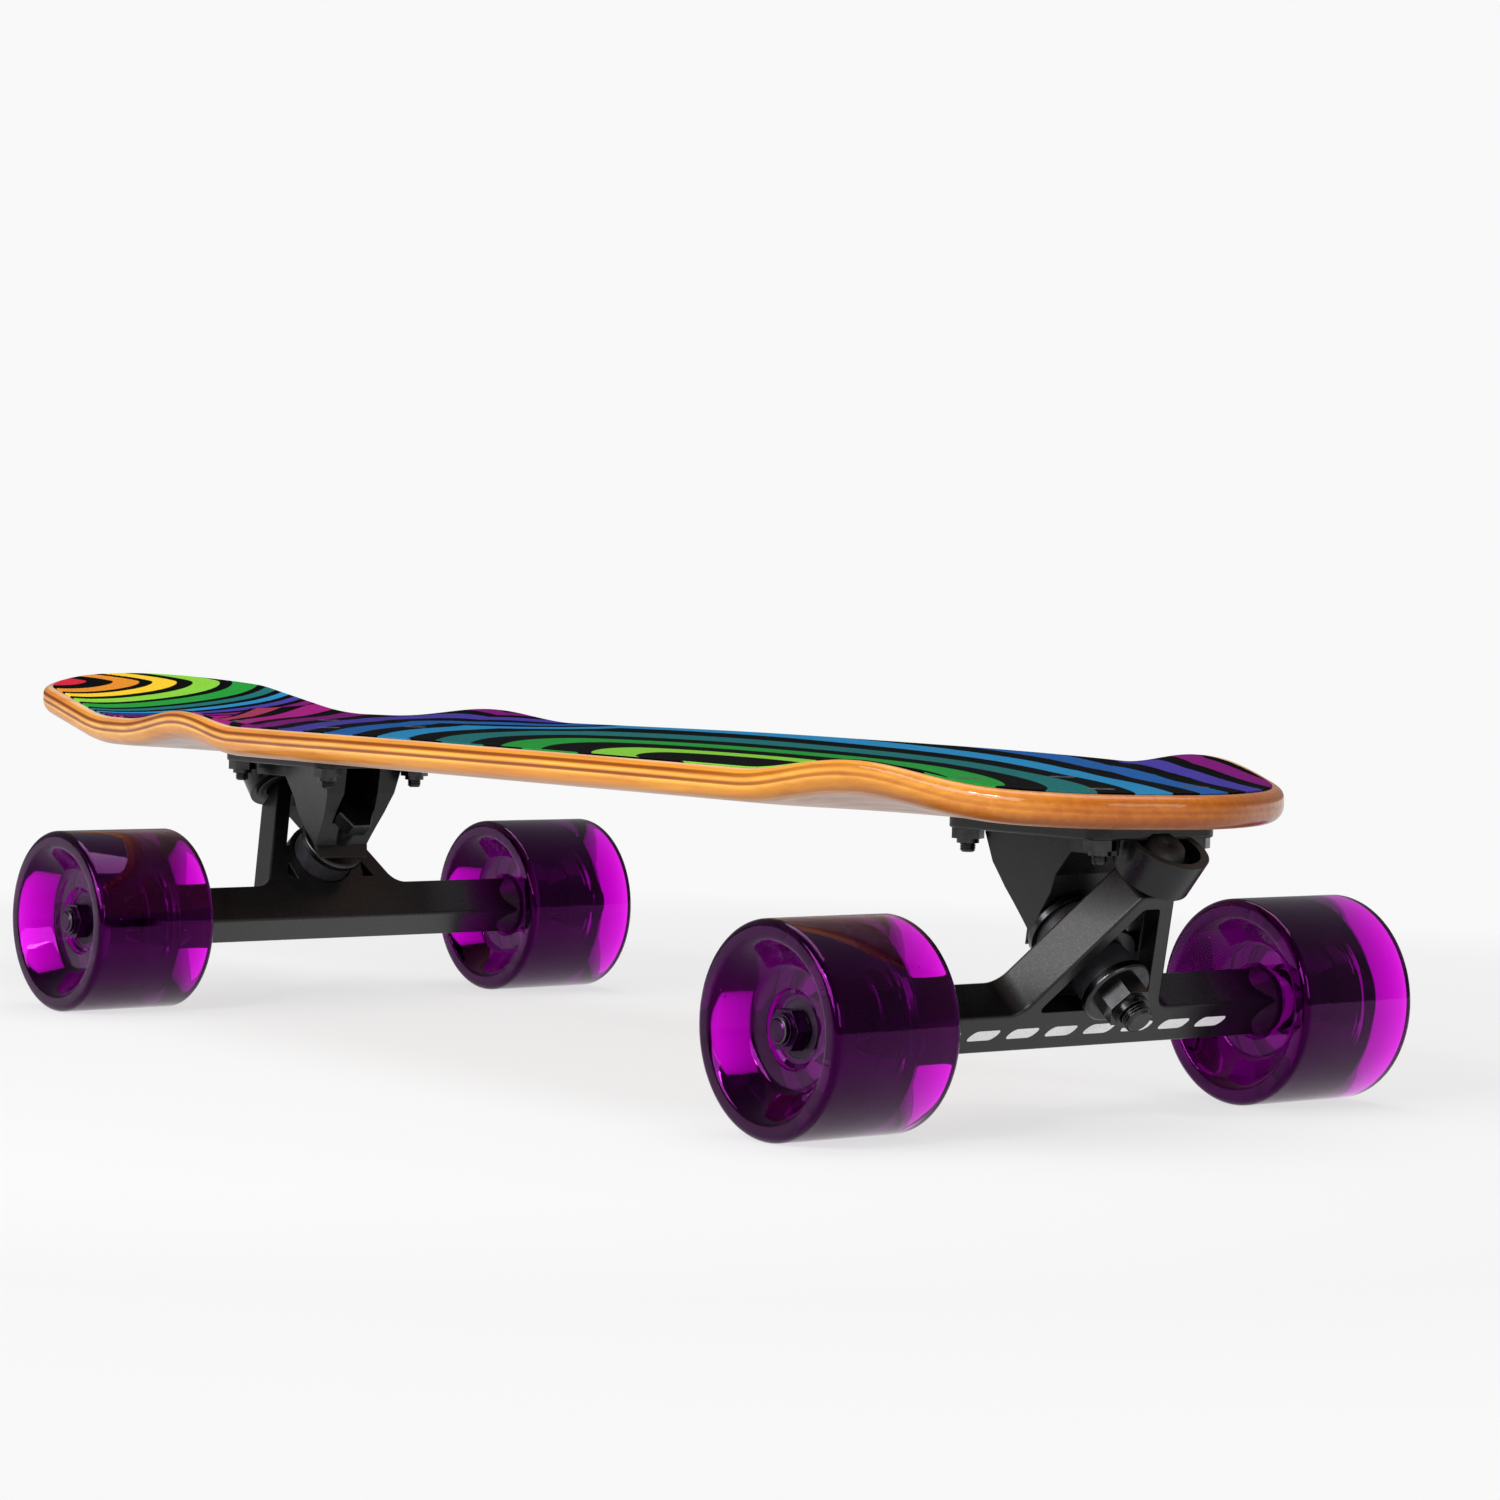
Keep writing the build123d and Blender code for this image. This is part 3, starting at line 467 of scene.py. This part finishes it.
def make_piece(name, points, faces, material, body=None, replaced=(), slot=None, attributes=()):
    """A smooth mesh piece on a body, standing for the CAD nodes that it replaces."""
    mesh = bpy.data.meshes.new(name)
    mesh.from_pydata([tuple(p) for p in points], [], faces)
    for key, values in attributes:
        mesh.attributes.new(key, "FLOAT", "POINT").data.foreach_set("value", values)
    shape = bmesh.new()
    shape.from_mesh(mesh)
    bmesh.ops.remove_doubles(shape, verts=shape.verts, dist=1e-7)
    bmesh.ops.recalc_face_normals(shape, faces=shape.faces)
    shape.to_mesh(mesh)
    shape.free()
    mesh.shade_smooth()
    mesh.materials.append(material)
    piece = bpy.data.objects.new(name, mesh)
    bpy.context.scene.collection.objects.link(piece)
    if body:
        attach(piece, body)
    if replaced:
        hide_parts(*replaced)
    return piece


def basis(origin, axis, side):
    """A place whose third axis points along axis and whose first is nearest to side."""
    axis = Vector(axis).normalized()
    across = (Vector(side) - axis * Vector(side).dot(axis)).normalized()
    turn = Matrix((across, axis.cross(across), axis)).transposed().to_4x4()
    return Matrix.Translation(origin) @ turn


def lathe(profile, place, segments=96):
    """Points and faces of a closed (radius, height) section turned about a place's third axis."""
    points, faces = [], []
    count = len(profile)
    for i in range(segments):
        turn = 2 * pi * i / segments
        points += [place @ Vector((r * cos(turn), r * sin(turn), h)) for r, h in profile]
    for i in range(segments):
        a, b = i * count, (i + 1) % segments * count
        faces += [(a + j, a + (j + 1) % count, b + (j + 1) % count, b + j) for j in range(count)]
    return points, faces


def join(parts):
    """Several (points, faces) pairs as one."""
    points, faces = [], []
    for some_points, some_faces in parts:
        base = len(points)
        points += some_points
        faces += [tuple(base + k for k in face) for face in some_faces]
    return points, faces


def thread(radius, pitch, low, high, place):
    """A V thread's ridge round a rod, between two heights."""
    per_turn = 28
    steps = int((high - low) / pitch * per_turn)
    section = [(0.0, -0.46), (0.60, -0.06), (0.60, 0.06), (0.0, 0.46)]
    points, faces = [], []
    for i in range(steps + 1):
        turn = 2 * pi * i / per_turn
        fade = min(1.0, i / 10, (steps - i) / 10)
        base = low + pitch * i / per_turn
        for out, up in section:
            r = radius - 0.00004 + out * pitch * 0.6 * fade
            points.append(place @ Vector((r * cos(turn), r * sin(turn), base + up * pitch * fade)))
    for i in range(steps):
        a, b = i * 4, (i + 1) * 4
        faces += [(a + j, a + (j + 1) % 4, b + (j + 1) % 4, b + j) for j in range(4)]
    faces += [(0, 1, 2, 3), tuple(steps * 4 + j for j in (3, 2, 1, 0))]
    return points, faces


# ---------------------------------------------------------------- deck and grip

DECK_TOP = 0.10993
DECK_THICKNESS = 0.011
DECK_HALF_LENGTH, DECK_HALF_WIDTH = 0.338, 0.095

CONCAVE_START, CONCAVE_REACH, CONCAVE_RISE = 0.028, 0.067, 0.004
KICK_START, KICK_RADIUS, KICK_ANGLE = -0.240, 0.150, radians(10.8)
FLARE_START, FLARE_REACH, FLARE_LENGTH = 0.036, 0.040, 0.110

# Each truck's flares as (how far past the axle, how high).
FLARES = {"front": (-0.012, 0.0055), "rear": (0.0, 0.0051)}

BOLT_HALF_LENGTH, BOLT_HALF_WIDTH, BOLT_SHIFT = 0.03175, 0.02065, 0.004


def deck_height(x, y):
    """Height of the deck's top over its flat middle: concave, kicktail and wheel flares."""
    height = CONCAVE_RISE * (max(abs(y) - CONCAVE_START, 0) / CONCAVE_REACH) ** 2
    back = KICK_START - x
    bend = KICK_RADIUS * sin(KICK_ANGLE)
    if back > 0:
        height += KICK_RADIUS - sqrt(KICK_RADIUS**2 - min(back, bend) ** 2)
        height += max(back - bend, 0) * tan(KICK_ANGLE)
    lift = (max(abs(y) - FLARE_START, 0) / FLARE_REACH) ** 2
    for truck, (shift, full) in FLARES.items():
        away = x - AXLES[truck].x - shift
        if abs(away) < FLARE_LENGTH / 2:
            height += full * lift * cos(pi * away / FLARE_LENGTH) ** 2
    return height


def bolt_spots(truck):
    """Where a truck's four mounting bolts pass through the deck."""
    x = AXLES[truck].x + BOLT_SHIFT * TRUCKS[truck]
    lengths, widths = (-BOLT_HALF_LENGTH, BOLT_HALF_LENGTH), (-BOLT_HALF_WIDTH, BOLT_HALF_WIDTH)
    return [(x + dx, dy) for dx in lengths for dy in widths]


WALL_TOP, WALL_LOW = 0.0034, 0.0065
HOLE_CLEARANCE = 0.006
RIM_STEP = 0.0006
RIM_POINTS = 420
RIM_SMOOTHINGS = 3


def half_outline(count):
    """The left half of the deck's outline, tail to nose, evenly spaced, from the CAD deck's wall."""
    rim = []
    holes = [spot for truck in TRUCKS for spot in bolt_spots(truck)]
    for v in NODES["deck"].data.vertices:
        x, y, z = v.co
        wall = WALL_TOP < DECK_TOP + deck_height(x, y) - z < WALL_LOW
        nearest = min((x - hx) ** 2 + (y - hy) ** 2 for hx, hy in holes)
        if y >= 0 and wall and nearest > HOLE_CLEARANCE**2:
            rim.append((x, y))
    rim.sort(key=lambda p: -np.arctan2(p[1] / DECK_HALF_WIDTH, p[0] / DECK_HALF_LENGTH))
    spaced = [(-DECK_HALF_LENGTH, 0.0)]
    for p in rim + [(DECK_HALF_LENGTH, 0.0)]:
        if (p[0] - spaced[-1][0]) ** 2 + (p[1] - spaced[-1][1]) ** 2 > RIM_STEP**2:
            spaced.append(p)
    line = np.array(spaced)
    line[-1] = (DECK_HALF_LENGTH, 0.0)
    run = np.concatenate([[0], np.cumsum(np.linalg.norm(np.diff(line, axis=0), axis=1))])
    even = np.linspace(0, run[-1], count)
    return np.stack([np.interp(even, run, line[:, k]) for k in (0, 1)], 1)


RINGS_INWARD = 22
RING_SPREAD = 1.25
SPINE_SHARE = 0.86


def board_shell(name, profile, **piece):
    """A closed sheet with the deck's outline. The profile goes from top to bottom as (inset, depth)."""
    line = half_outline(RIM_POINTS)
    for _ in range(RIM_SMOOTHINGS):
        line[1:-1] = (line[:-2] + 2 * line[1:-1] + line[2:]) / 4
    whole = np.vstack([line, line[-2:0:-1] * (1, -1)])
    ahead = np.roll(whole, -1, 0) - np.roll(whole, 1, 0)
    inward = np.stack([ahead[:, 1], -ahead[:, 0]], 1) / np.linalg.norm(ahead, axis=1)[:, None]
    total = len(whole)
    inset_top, depth_top = profile[0]
    inset_low, depth_low = profile[-1]
    points, depths, ends = [], [], []

    def add(x, y, depth, end):
        points.append((x, y, DECK_TOP + deck_height(x, y) - depth))
        depths.append(min(max(depth / DECK_THICKNESS, 0), 1))
        ends.append(end)
        return len(points) - 1

    columns = []
    spines = {}
    for i in range(total):
        twin = min(i, total - i)
        end = min(abs(inward[i][0]) ** 2 * 1.3, 1.0)
        column = []
        for inset, depth, sense in ((inset_top, depth_top, -1), (inset_low, depth_low, 1)):
            x, y = whole[i] + inward[i] * inset
            spine = (whole[twin][0] * SPINE_SHARE, 0.0)
            ring = []
            for k in range(1, RINGS_INWARD):
                t = (k / RINGS_INWARD) ** RING_SPREAD
                ring.append(add(x + (spine[0] - x) * t, y + (spine[1] - y) * t, depth, 0.0))
            key = (twin, sense)
            if key not in spines:
                spines[key] = add(spine[0], 0.0, depth, 0.0)
            ring.append(spines[key])
            if sense < 0:
                column += ring[::-1]
                for inset_k, depth_k in profile:
                    px, py = whole[i] + inward[i] * inset_k
                    column.append(add(px, py, depth_k, end))
            else:
                column += ring
        columns.append(column)
    faces = []
    for i in range(total):
        a, b = columns[i], columns[(i + 1) % total]
        for j in range(len(a) - 1):
            face = []
            for k in (a[j], a[j + 1], b[j + 1], b[j]):
                if k not in face:
                    face.append(k)
            if len(face) > 2:
                faces.append(tuple(face))
    return make_piece(name, points, faces, attributes=(("depth", depths), ("end_grain", ends)), **piece)


def quarter(radius, depth, outward, steps=8):
    """A quarter circle of an edge's profile, from the top face outward or from the wall inward."""
    result = []
    for k in range(steps + 1):
        angle = radians(90) * k / steps
        inset = radius * (1 - (sin(angle) if outward else cos(angle)))
        drop = radius * (1 - cos(angle)) if outward else radius * sin(angle)
        result.append((inset, depth + drop))
    return result


TOP_ROUND, LOW_ROUND = 0.0036, 0.0048
GRIP_RISE, GRIP_INSET = 0.00063, 0.0040


def make_deck(wood, grip):
    edge = quarter(TOP_ROUND, 0.0, True)
    edge += [(0.0, 0.0045), (0.0, 0.0054)]
    edge += quarter(LOW_ROUND, DECK_THICKNESS - LOW_ROUND, False)
    board_shell("deck_wood", edge, material=wood, body="board", replaced=["deck"], slot="maple")
    edge = [
        (GRIP_INSET + 0.0006, -GRIP_RISE), (GRIP_INSET + 0.0002, -GRIP_RISE + 0.00005),
        (GRIP_INSET, -GRIP_RISE + 0.0002), (GRIP_INSET, -0.00003),
    ]
    grip_piece = {"body": "board", "replaced": ["grip_sheet"], "slot": "printed_grip"}
    board_shell("grip_print", edge, material=grip, **grip_piece)


make_camera()
make_world()
for name, (place, aim, size, watts) in LIGHTS.items():
    softbox(name, place, aim, size, watts)
corners = [(x * FLOOR_HALF, y * FLOOR_HALF, 0) for x, y in ((-1, -1), (1, -1), (1, 1), (-1, 1))]
floor = make_piece("floor", corners, [(0, 1, 2, 3)], floor_material())
floor.location.z = -FLOOR_GAP

WOOD, GRIP, POWDER = wood_material(), grip_material(), powder_material()
DARK = metal_material("steel_dark", (0.060, 0.060, 0.062), 0.22)
AXLE_STEEL = metal_material("steel_axle", (0.12, 0.12, 0.125), 0.26)
RACE_STEEL = metal_material("steel_race", (0.085, 0.025, 0.10), 0.2)
HUB_METAL = metal_material("steel_violet", (0.055, 0.016, 0.065), 0.24)
SEAL = rubber_material("seal_black", (0.010, 0.003, 0.012), 0.5)
BUSHING = rubber_material("bushing_black", (0.014, 0.013, 0.016), 0.42)
CUP = rubber_material("cup_black", (0.006, 0.006, 0.007), 0.5)
URETHANE, AIR, PAINT = urethane_material(), bubble_material(), paint_material()

make_deck(WOOD, GRIP)

# ---------------------------------------------------------------- trucks

STEER = radians(52)


def truck_place(truck, station, height):
    """A point of a truck's steering plane, and the directions along its steering axis and kingpin."""
    out = TRUCKS[truck]
    along = Vector((out * cos(STEER), 0, sin(STEER)))
    across = Vector((out * sin(STEER), 0, -cos(STEER)))
    origin = Vector((AXLES[truck].x, 0, AXLES[truck].z))
    return origin + along * station + across * height, along, across


KINGPIN_STATION = 0.0215
BUSHING_BORE = 0.0050
BUSHING_BULGE = 0.0003

# Each bushing's radius and the heights of its ends along the kingpin.
BUSHINGS = {"boardside_bushing": (0.0124, -0.0190, -0.0060), "roadside_bushing": (0.0108, 0.0005, 0.0126)}

# The pivot cup's closed section as (radius, station along the steering axis).
CUP_SECTION = [
    (0.0071, 0.0603), (0.0104, 0.0603), (0.0107, 0.0606), (0.0107, 0.0612), (0.0104, 0.0615),
    (0.0085, 0.0615), (0.0085, 0.0678), (0.0060, 0.0738), (0.0002, 0.0738), (0.0002, 0.0712),
    (0.0036, 0.0698), (0.0051, 0.0664), (0.0066, 0.0612),
]


def barrel(radius, low, high):
    """A bushing's closed section: a bore, flat ends with a mould line, and a bulging side."""
    flat, line, lip = 0.0013, 0.0005, 0.0003
    side_inset, side_start = 0.0002, 0.0011
    side = []
    for k in range(9):
        t = k / 8
        out = radius - side_inset + BUSHING_BULGE * 4 * t * (1 - t)
        side.append((out, low + side_start + (high - low - 2 * side_start) * t))
    start = [(BUSHING_BORE, low), (radius - flat, low), (radius - line, low + lip)]
    end = [(radius - line, high - lip), (radius - flat, high), (BUSHING_BORE, high)]
    return start + side + end


def make_bushings(truck):
    origin, along, across = truck_place(truck, KINGPIN_STATION, 0)
    place = basis(origin, across, (0, 1, 0))
    for name, (radius, low, high) in BUSHINGS.items():
        points, faces = lathe(barrel(radius, low, high), place)
        node = f"{truck}_{name}"
        piece = make_piece(f"{node}_rubber", points, faces, BUSHING, None, [node], "bushing_urethane")
        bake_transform(piece)


def make_cup(truck):
    origin, along, across = truck_place(truck, 0, 0)
    points, faces = lathe(CUP_SECTION, basis(origin, along, (0, 1, 0)))
    make_piece(f"{truck}_cup_rubber", points, faces, CUP, "board", [f"{truck}_pivot_cup"], "cup_urethane")


BAR_DEPTH = 0.01635
DASHES, DASH_PITCH, DASH_LENGTH, DASH_HEIGHT = 8, 0.0168, 0.0116, 0.0042
DASH_SLANT = 0.0013
DASH_ROUND = 0.42
DASH_SINK, DASH_DEPTH = 0.0001, 0.00014


def make_dashes(truck):
    """A row of plain slanted dashes on the bar's roadside face."""
    origin, along, across = truck_place(truck, 0, BAR_DEPTH / 2)
    r = DASH_HEIGHT * DASH_ROUND
    outline = []
    for cx, cy, start in ((1, 1, 0), (-1, 1, 90), (-1, -1, 180), (1, -1, 270)):
        for k in range(5):
            angle = radians(start + 22.5 * k)
            u = cx * (DASH_LENGTH / 2 - r) + r * cos(angle)
            w = cy * (DASH_HEIGHT / 2 - r) + r * sin(angle)
            outline.append((u + DASH_SLANT * w / DASH_HEIGHT * 2, w))
    n = len(outline)
    faces = [tuple(range(n - 1, -1, -1)), tuple(range(n, 2 * n))]
    faces += [(k, (k + 1) % n, n + (k + 1) % n, n + k) for k in range(n)]
    parts = []
    for i in range(DASHES):
        shift = (i - (DASHES - 1) / 2) * DASH_PITCH
        low = [
            origin + Vector((0, 1, 0)) * (shift + u) + along * w - across * DASH_SINK for u, w in outline
        ]
        parts.append((low + [p + across * DASH_DEPTH for p in low], faces))
    points, faces = join(parts)
    piece = make_piece(f"{truck}_dashes", points, faces, PAINT, f"{truck}_truck", slot="cast_black")
    for polygon in piece.data.polygons:
        polygon.use_smooth = False


# Each thread's (radius, pitch), and its ends as heights: along the kingpin, over the bolts'
# lower ends, and back from the axle's tips.
KINGPIN_THREAD, KINGPIN_THREAD_ENDS = (0.00476, 0.00106), (0.0237, 0.0268)
BOLT_THREAD, BOLT_THREAD_ENDS = (0.0024, 0.0008), (0.0004, 0.0032)
AXLE_THREAD, AXLE_THREAD_ENDS = (0.0040, 0.0010), (0.0018, 0.0003)


def make_threads(truck):
    origin, along, across = truck_place(truck, KINGPIN_STATION, 0)
    points, faces = thread(*KINGPIN_THREAD, *KINGPIN_THREAD_ENDS, basis(origin, across, (0, 1, 0)))
    make_piece(f"{truck}_kingpin_thread", points, faces, DARK, "board", slot="dark_steel")
    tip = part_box(f"{truck}_mounting_bolts")[0].z
    low, high = BOLT_THREAD_ENDS
    parts = [
        thread(*BOLT_THREAD, tip + low, tip + high, Matrix.Translation((x, y, 0)))
        for x, y in bolt_spots(truck)
    ]
    points, faces = join(parts)
    make_piece(f"{truck}_bolt_threads", points, faces, DARK, "board", slot="dark_steel")
    parts = []
    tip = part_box(f"{truck}_axle")[1].y
    low, high = AXLE_THREAD_ENDS
    for side in SIDES.values():
        place = basis(AXLES[truck], (0, side, 0), (1, 0, 0))
        parts.append(thread(*AXLE_THREAD, tip - low, tip - high, place))
    points, faces = join(parts)
    make_piece(f"{truck}_axle_threads", points, faces, AXLE_STEEL, f"{truck}_truck", slot="axle_steel")


HEAD_TOP = 0.11056
HEAD_RADIUS, HEAD_FACE, SOCKET_LIP, SOCKET = 0.0046, 0.0044, 0.0021, 0.0017
HEAD_ROWS = [
    (HEAD_RADIUS, -0.0008), (HEAD_RADIUS, -0.00002), (HEAD_FACE, 0.00004), (SOCKET_LIP, 0.00006),
    (SOCKET, -0.0001), (SOCKET, -0.0007),
]
HEAD_SEGMENTS = 48


def make_bolt_heads(truck):
    """The tops of the mounting bolts, a hair over the grip, each with its hexagon socket."""
    n = HEAD_SEGMENTS
    faces = [
        (j * n + k, j * n + (k + 1) % n, (j + 1) * n + (k + 1) % n, (j + 1) * n + k)
        for j in range(len(HEAD_ROWS) - 1) for k in range(n)
    ]
    faces += [tuple(range(n)), tuple((len(HEAD_ROWS) - 1) * n + k for k in range(n))]
    parts = []
    for x, y in bolt_spots(truck):
        top = HEAD_TOP + deck_height(x, y)
        ring = []
        for r, h in HEAD_ROWS:
            for k in range(n):
                angle = 2 * pi * k / n
                reach = r
                if r == SOCKET:
                    reach = r * cos(pi / 6) / cos((angle + pi / 6) % (pi / 3) - pi / 6)
                ring.append((x + reach * cos(angle), y + reach * sin(angle), top + h))
        parts.append((ring, faces))
    points, faces = join(parts)
    piece = make_piece(f"{truck}_bolt_heads", points, faces, DARK, "board", slot="dark_steel")
    sharpen(piece)


def sharpen(piece, angle=40):
    """Keeps edges sharper than the angle sharp, and shades the rest smooth."""
    shape = bmesh.new()
    shape.from_mesh(piece.data)
    for edge in shape.edges:
        if len(edge.link_faces) == 2:
            edge.smooth = edge.calc_face_angle() < radians(angle)
    shape.to_mesh(piece.data)
    shape.free()


# ---------------------------------------------------------------- wheels

WHEEL_RADIUS, WHEEL_HALF = 0.035, 0.0255
TREAD_ROUND = 0.0024
WHEEL_SEGMENTS = 160

# A wheel's half section from its middle to its outer face, closed at the bore, each corner as
# (radius, height, how far it is rounded).
WHEEL_CORNERS = [
    (0.00945, 0.0, 0.0002), (0.00945, 0.00505, 0.0002), (0.01106, 0.00505, 0.0002),
    (0.01106, 0.0124, 0.0002), (0.0126, 0.0131, 0.0002), (0.0126, 0.0146, 0.0008),
    (0.0200, 0.0146, 0.0016), (0.0274, 0.0239, 0.0012), (0.0290, WHEEL_HALF, 0.0009),
]


def wheel_section():
    """A wheel's closed section, with its corners and the edges of its tread rounded."""
    rim = WHEEL_RADIUS - TREAD_ROUND
    shoulder = WHEEL_HALF - TREAD_ROUND
    mirrored = [(r, -h, rounding) for r, h, rounding in reversed(WHEEL_CORNERS[1:])]
    corners = WHEEL_CORNERS + [(rim, WHEEL_HALF, None), (rim, -WHEEL_HALF, None)] + mirrored
    section = []
    for i, (radius, height, rounding) in enumerate(corners):
        if rounding is None:
            sense = 1 if height > 0 else -1
            arc = []
            for k in range(9):
                angle = radians(90) * k / 8
                arc.append((rim + TREAD_ROUND * sin(angle), sense * (shoulder + TREAD_ROUND * cos(angle))))
            section += arc if sense > 0 else arc[::-1]
            continue
        corner = Vector((radius, height))
        before = Vector(corners[i - 1][:2]) - corner
        after = Vector(corners[(i + 1) % len(corners)][:2]) - corner
        reach = min(rounding, before.length * 0.4, after.length * 0.4)
        start = corner + before.normalized() * reach
        end = corner + after.normalized() * reach
        for k in range(5):
            t = k / 4
            section.append(tuple(start * (1 - t) ** 2 + corner * 2 * t * (1 - t) + end * t * t))
    return section


def make_wheel(truck, side_name):
    wheel = f"{truck}_{side_name}_wheel"
    place = basis(middle(wheel), (0, SIDES[side_name], 0), (1, 0, 0))
    points, faces = lathe(wheel_section(), place, WHEEL_SEGMENTS)
    name = f"{truck}_{side_name}"
    piece = make_piece(f"{name}_urethane", points, faces, URETHANE, wheel, [wheel], "wheel_urethane")
    sharpen(piece, 60)
    make_bubbles(name, place)


BUBBLES = 26
BUBBLE_REACH, BUBBLE_HEIGHT = (0.0245, 0.0335), 0.019
BUBBLE_RADII = (0.00018, 0.00026, 0.00036, 0.0005)


def make_bubbles(name, place):
    """Small bubbles caught in the tread."""
    parts = []
    for _ in range(BUBBLES):
        turn = random.uniform(0, 2 * pi)
        reach = random.uniform(*BUBBLE_REACH)
        height = random.uniform(-BUBBLE_HEIGHT, BUBBLE_HEIGHT)
        size = random.choice(BUBBLE_RADII)
        centre = place @ Vector((reach * cos(turn), reach * sin(turn), height))
        ball = bmesh.new()
        bmesh.ops.create_icosphere(ball, subdivisions=2, radius=size)
        points = [centre + v.co for v in ball.verts]
        faces = [tuple(v.index for v in f.verts) for f in ball.faces]
        ball.free()
        parts.append((points, faces))
    points, faces = join(parts)
    make_piece(f"{name}_bubbles", points, faces, AIR, f"{name}_wheel", slot="wheel_urethane")


random.seed(7)
for truck in TRUCKS:
    make_bushings(truck)
    make_cup(truck)
    make_dashes(truck)
    make_threads(truck)
    make_bolt_heads(truck)
    for side_name in SIDES:
        make_wheel(truck, side_name)

# ---------------------------------------------------------------- CAD nodes that stay

FINISHES = {
    "baseplate": POWDER, "hanger": POWDER, "kingpin": DARK, "kingpin_nut": DARK,
    "boardside_washer": DARK, "roadside_washer": DARK, "mounting_bolts": DARK, "mounting_nuts": DARK,
    "axle": HUB_METAL, "axle_nuts": HUB_METAL, "speed_washers": HUB_METAL, "inner_races": RACE_STEEL,
    "outer_races": RACE_STEEL, "bearing_balls": RACE_STEEL, "bearing_shields": SEAL,
    "bearing_spacer": AXLE_STEEL,
}
for name, node in NODES.items():
    for ending, material in FINISHES.items():
        if name.endswith("_" + ending):
            node.data.materials.clear()
            node.data.materials.append(material)

bpy.context.scene.view_settings.view_transform = "Standard"
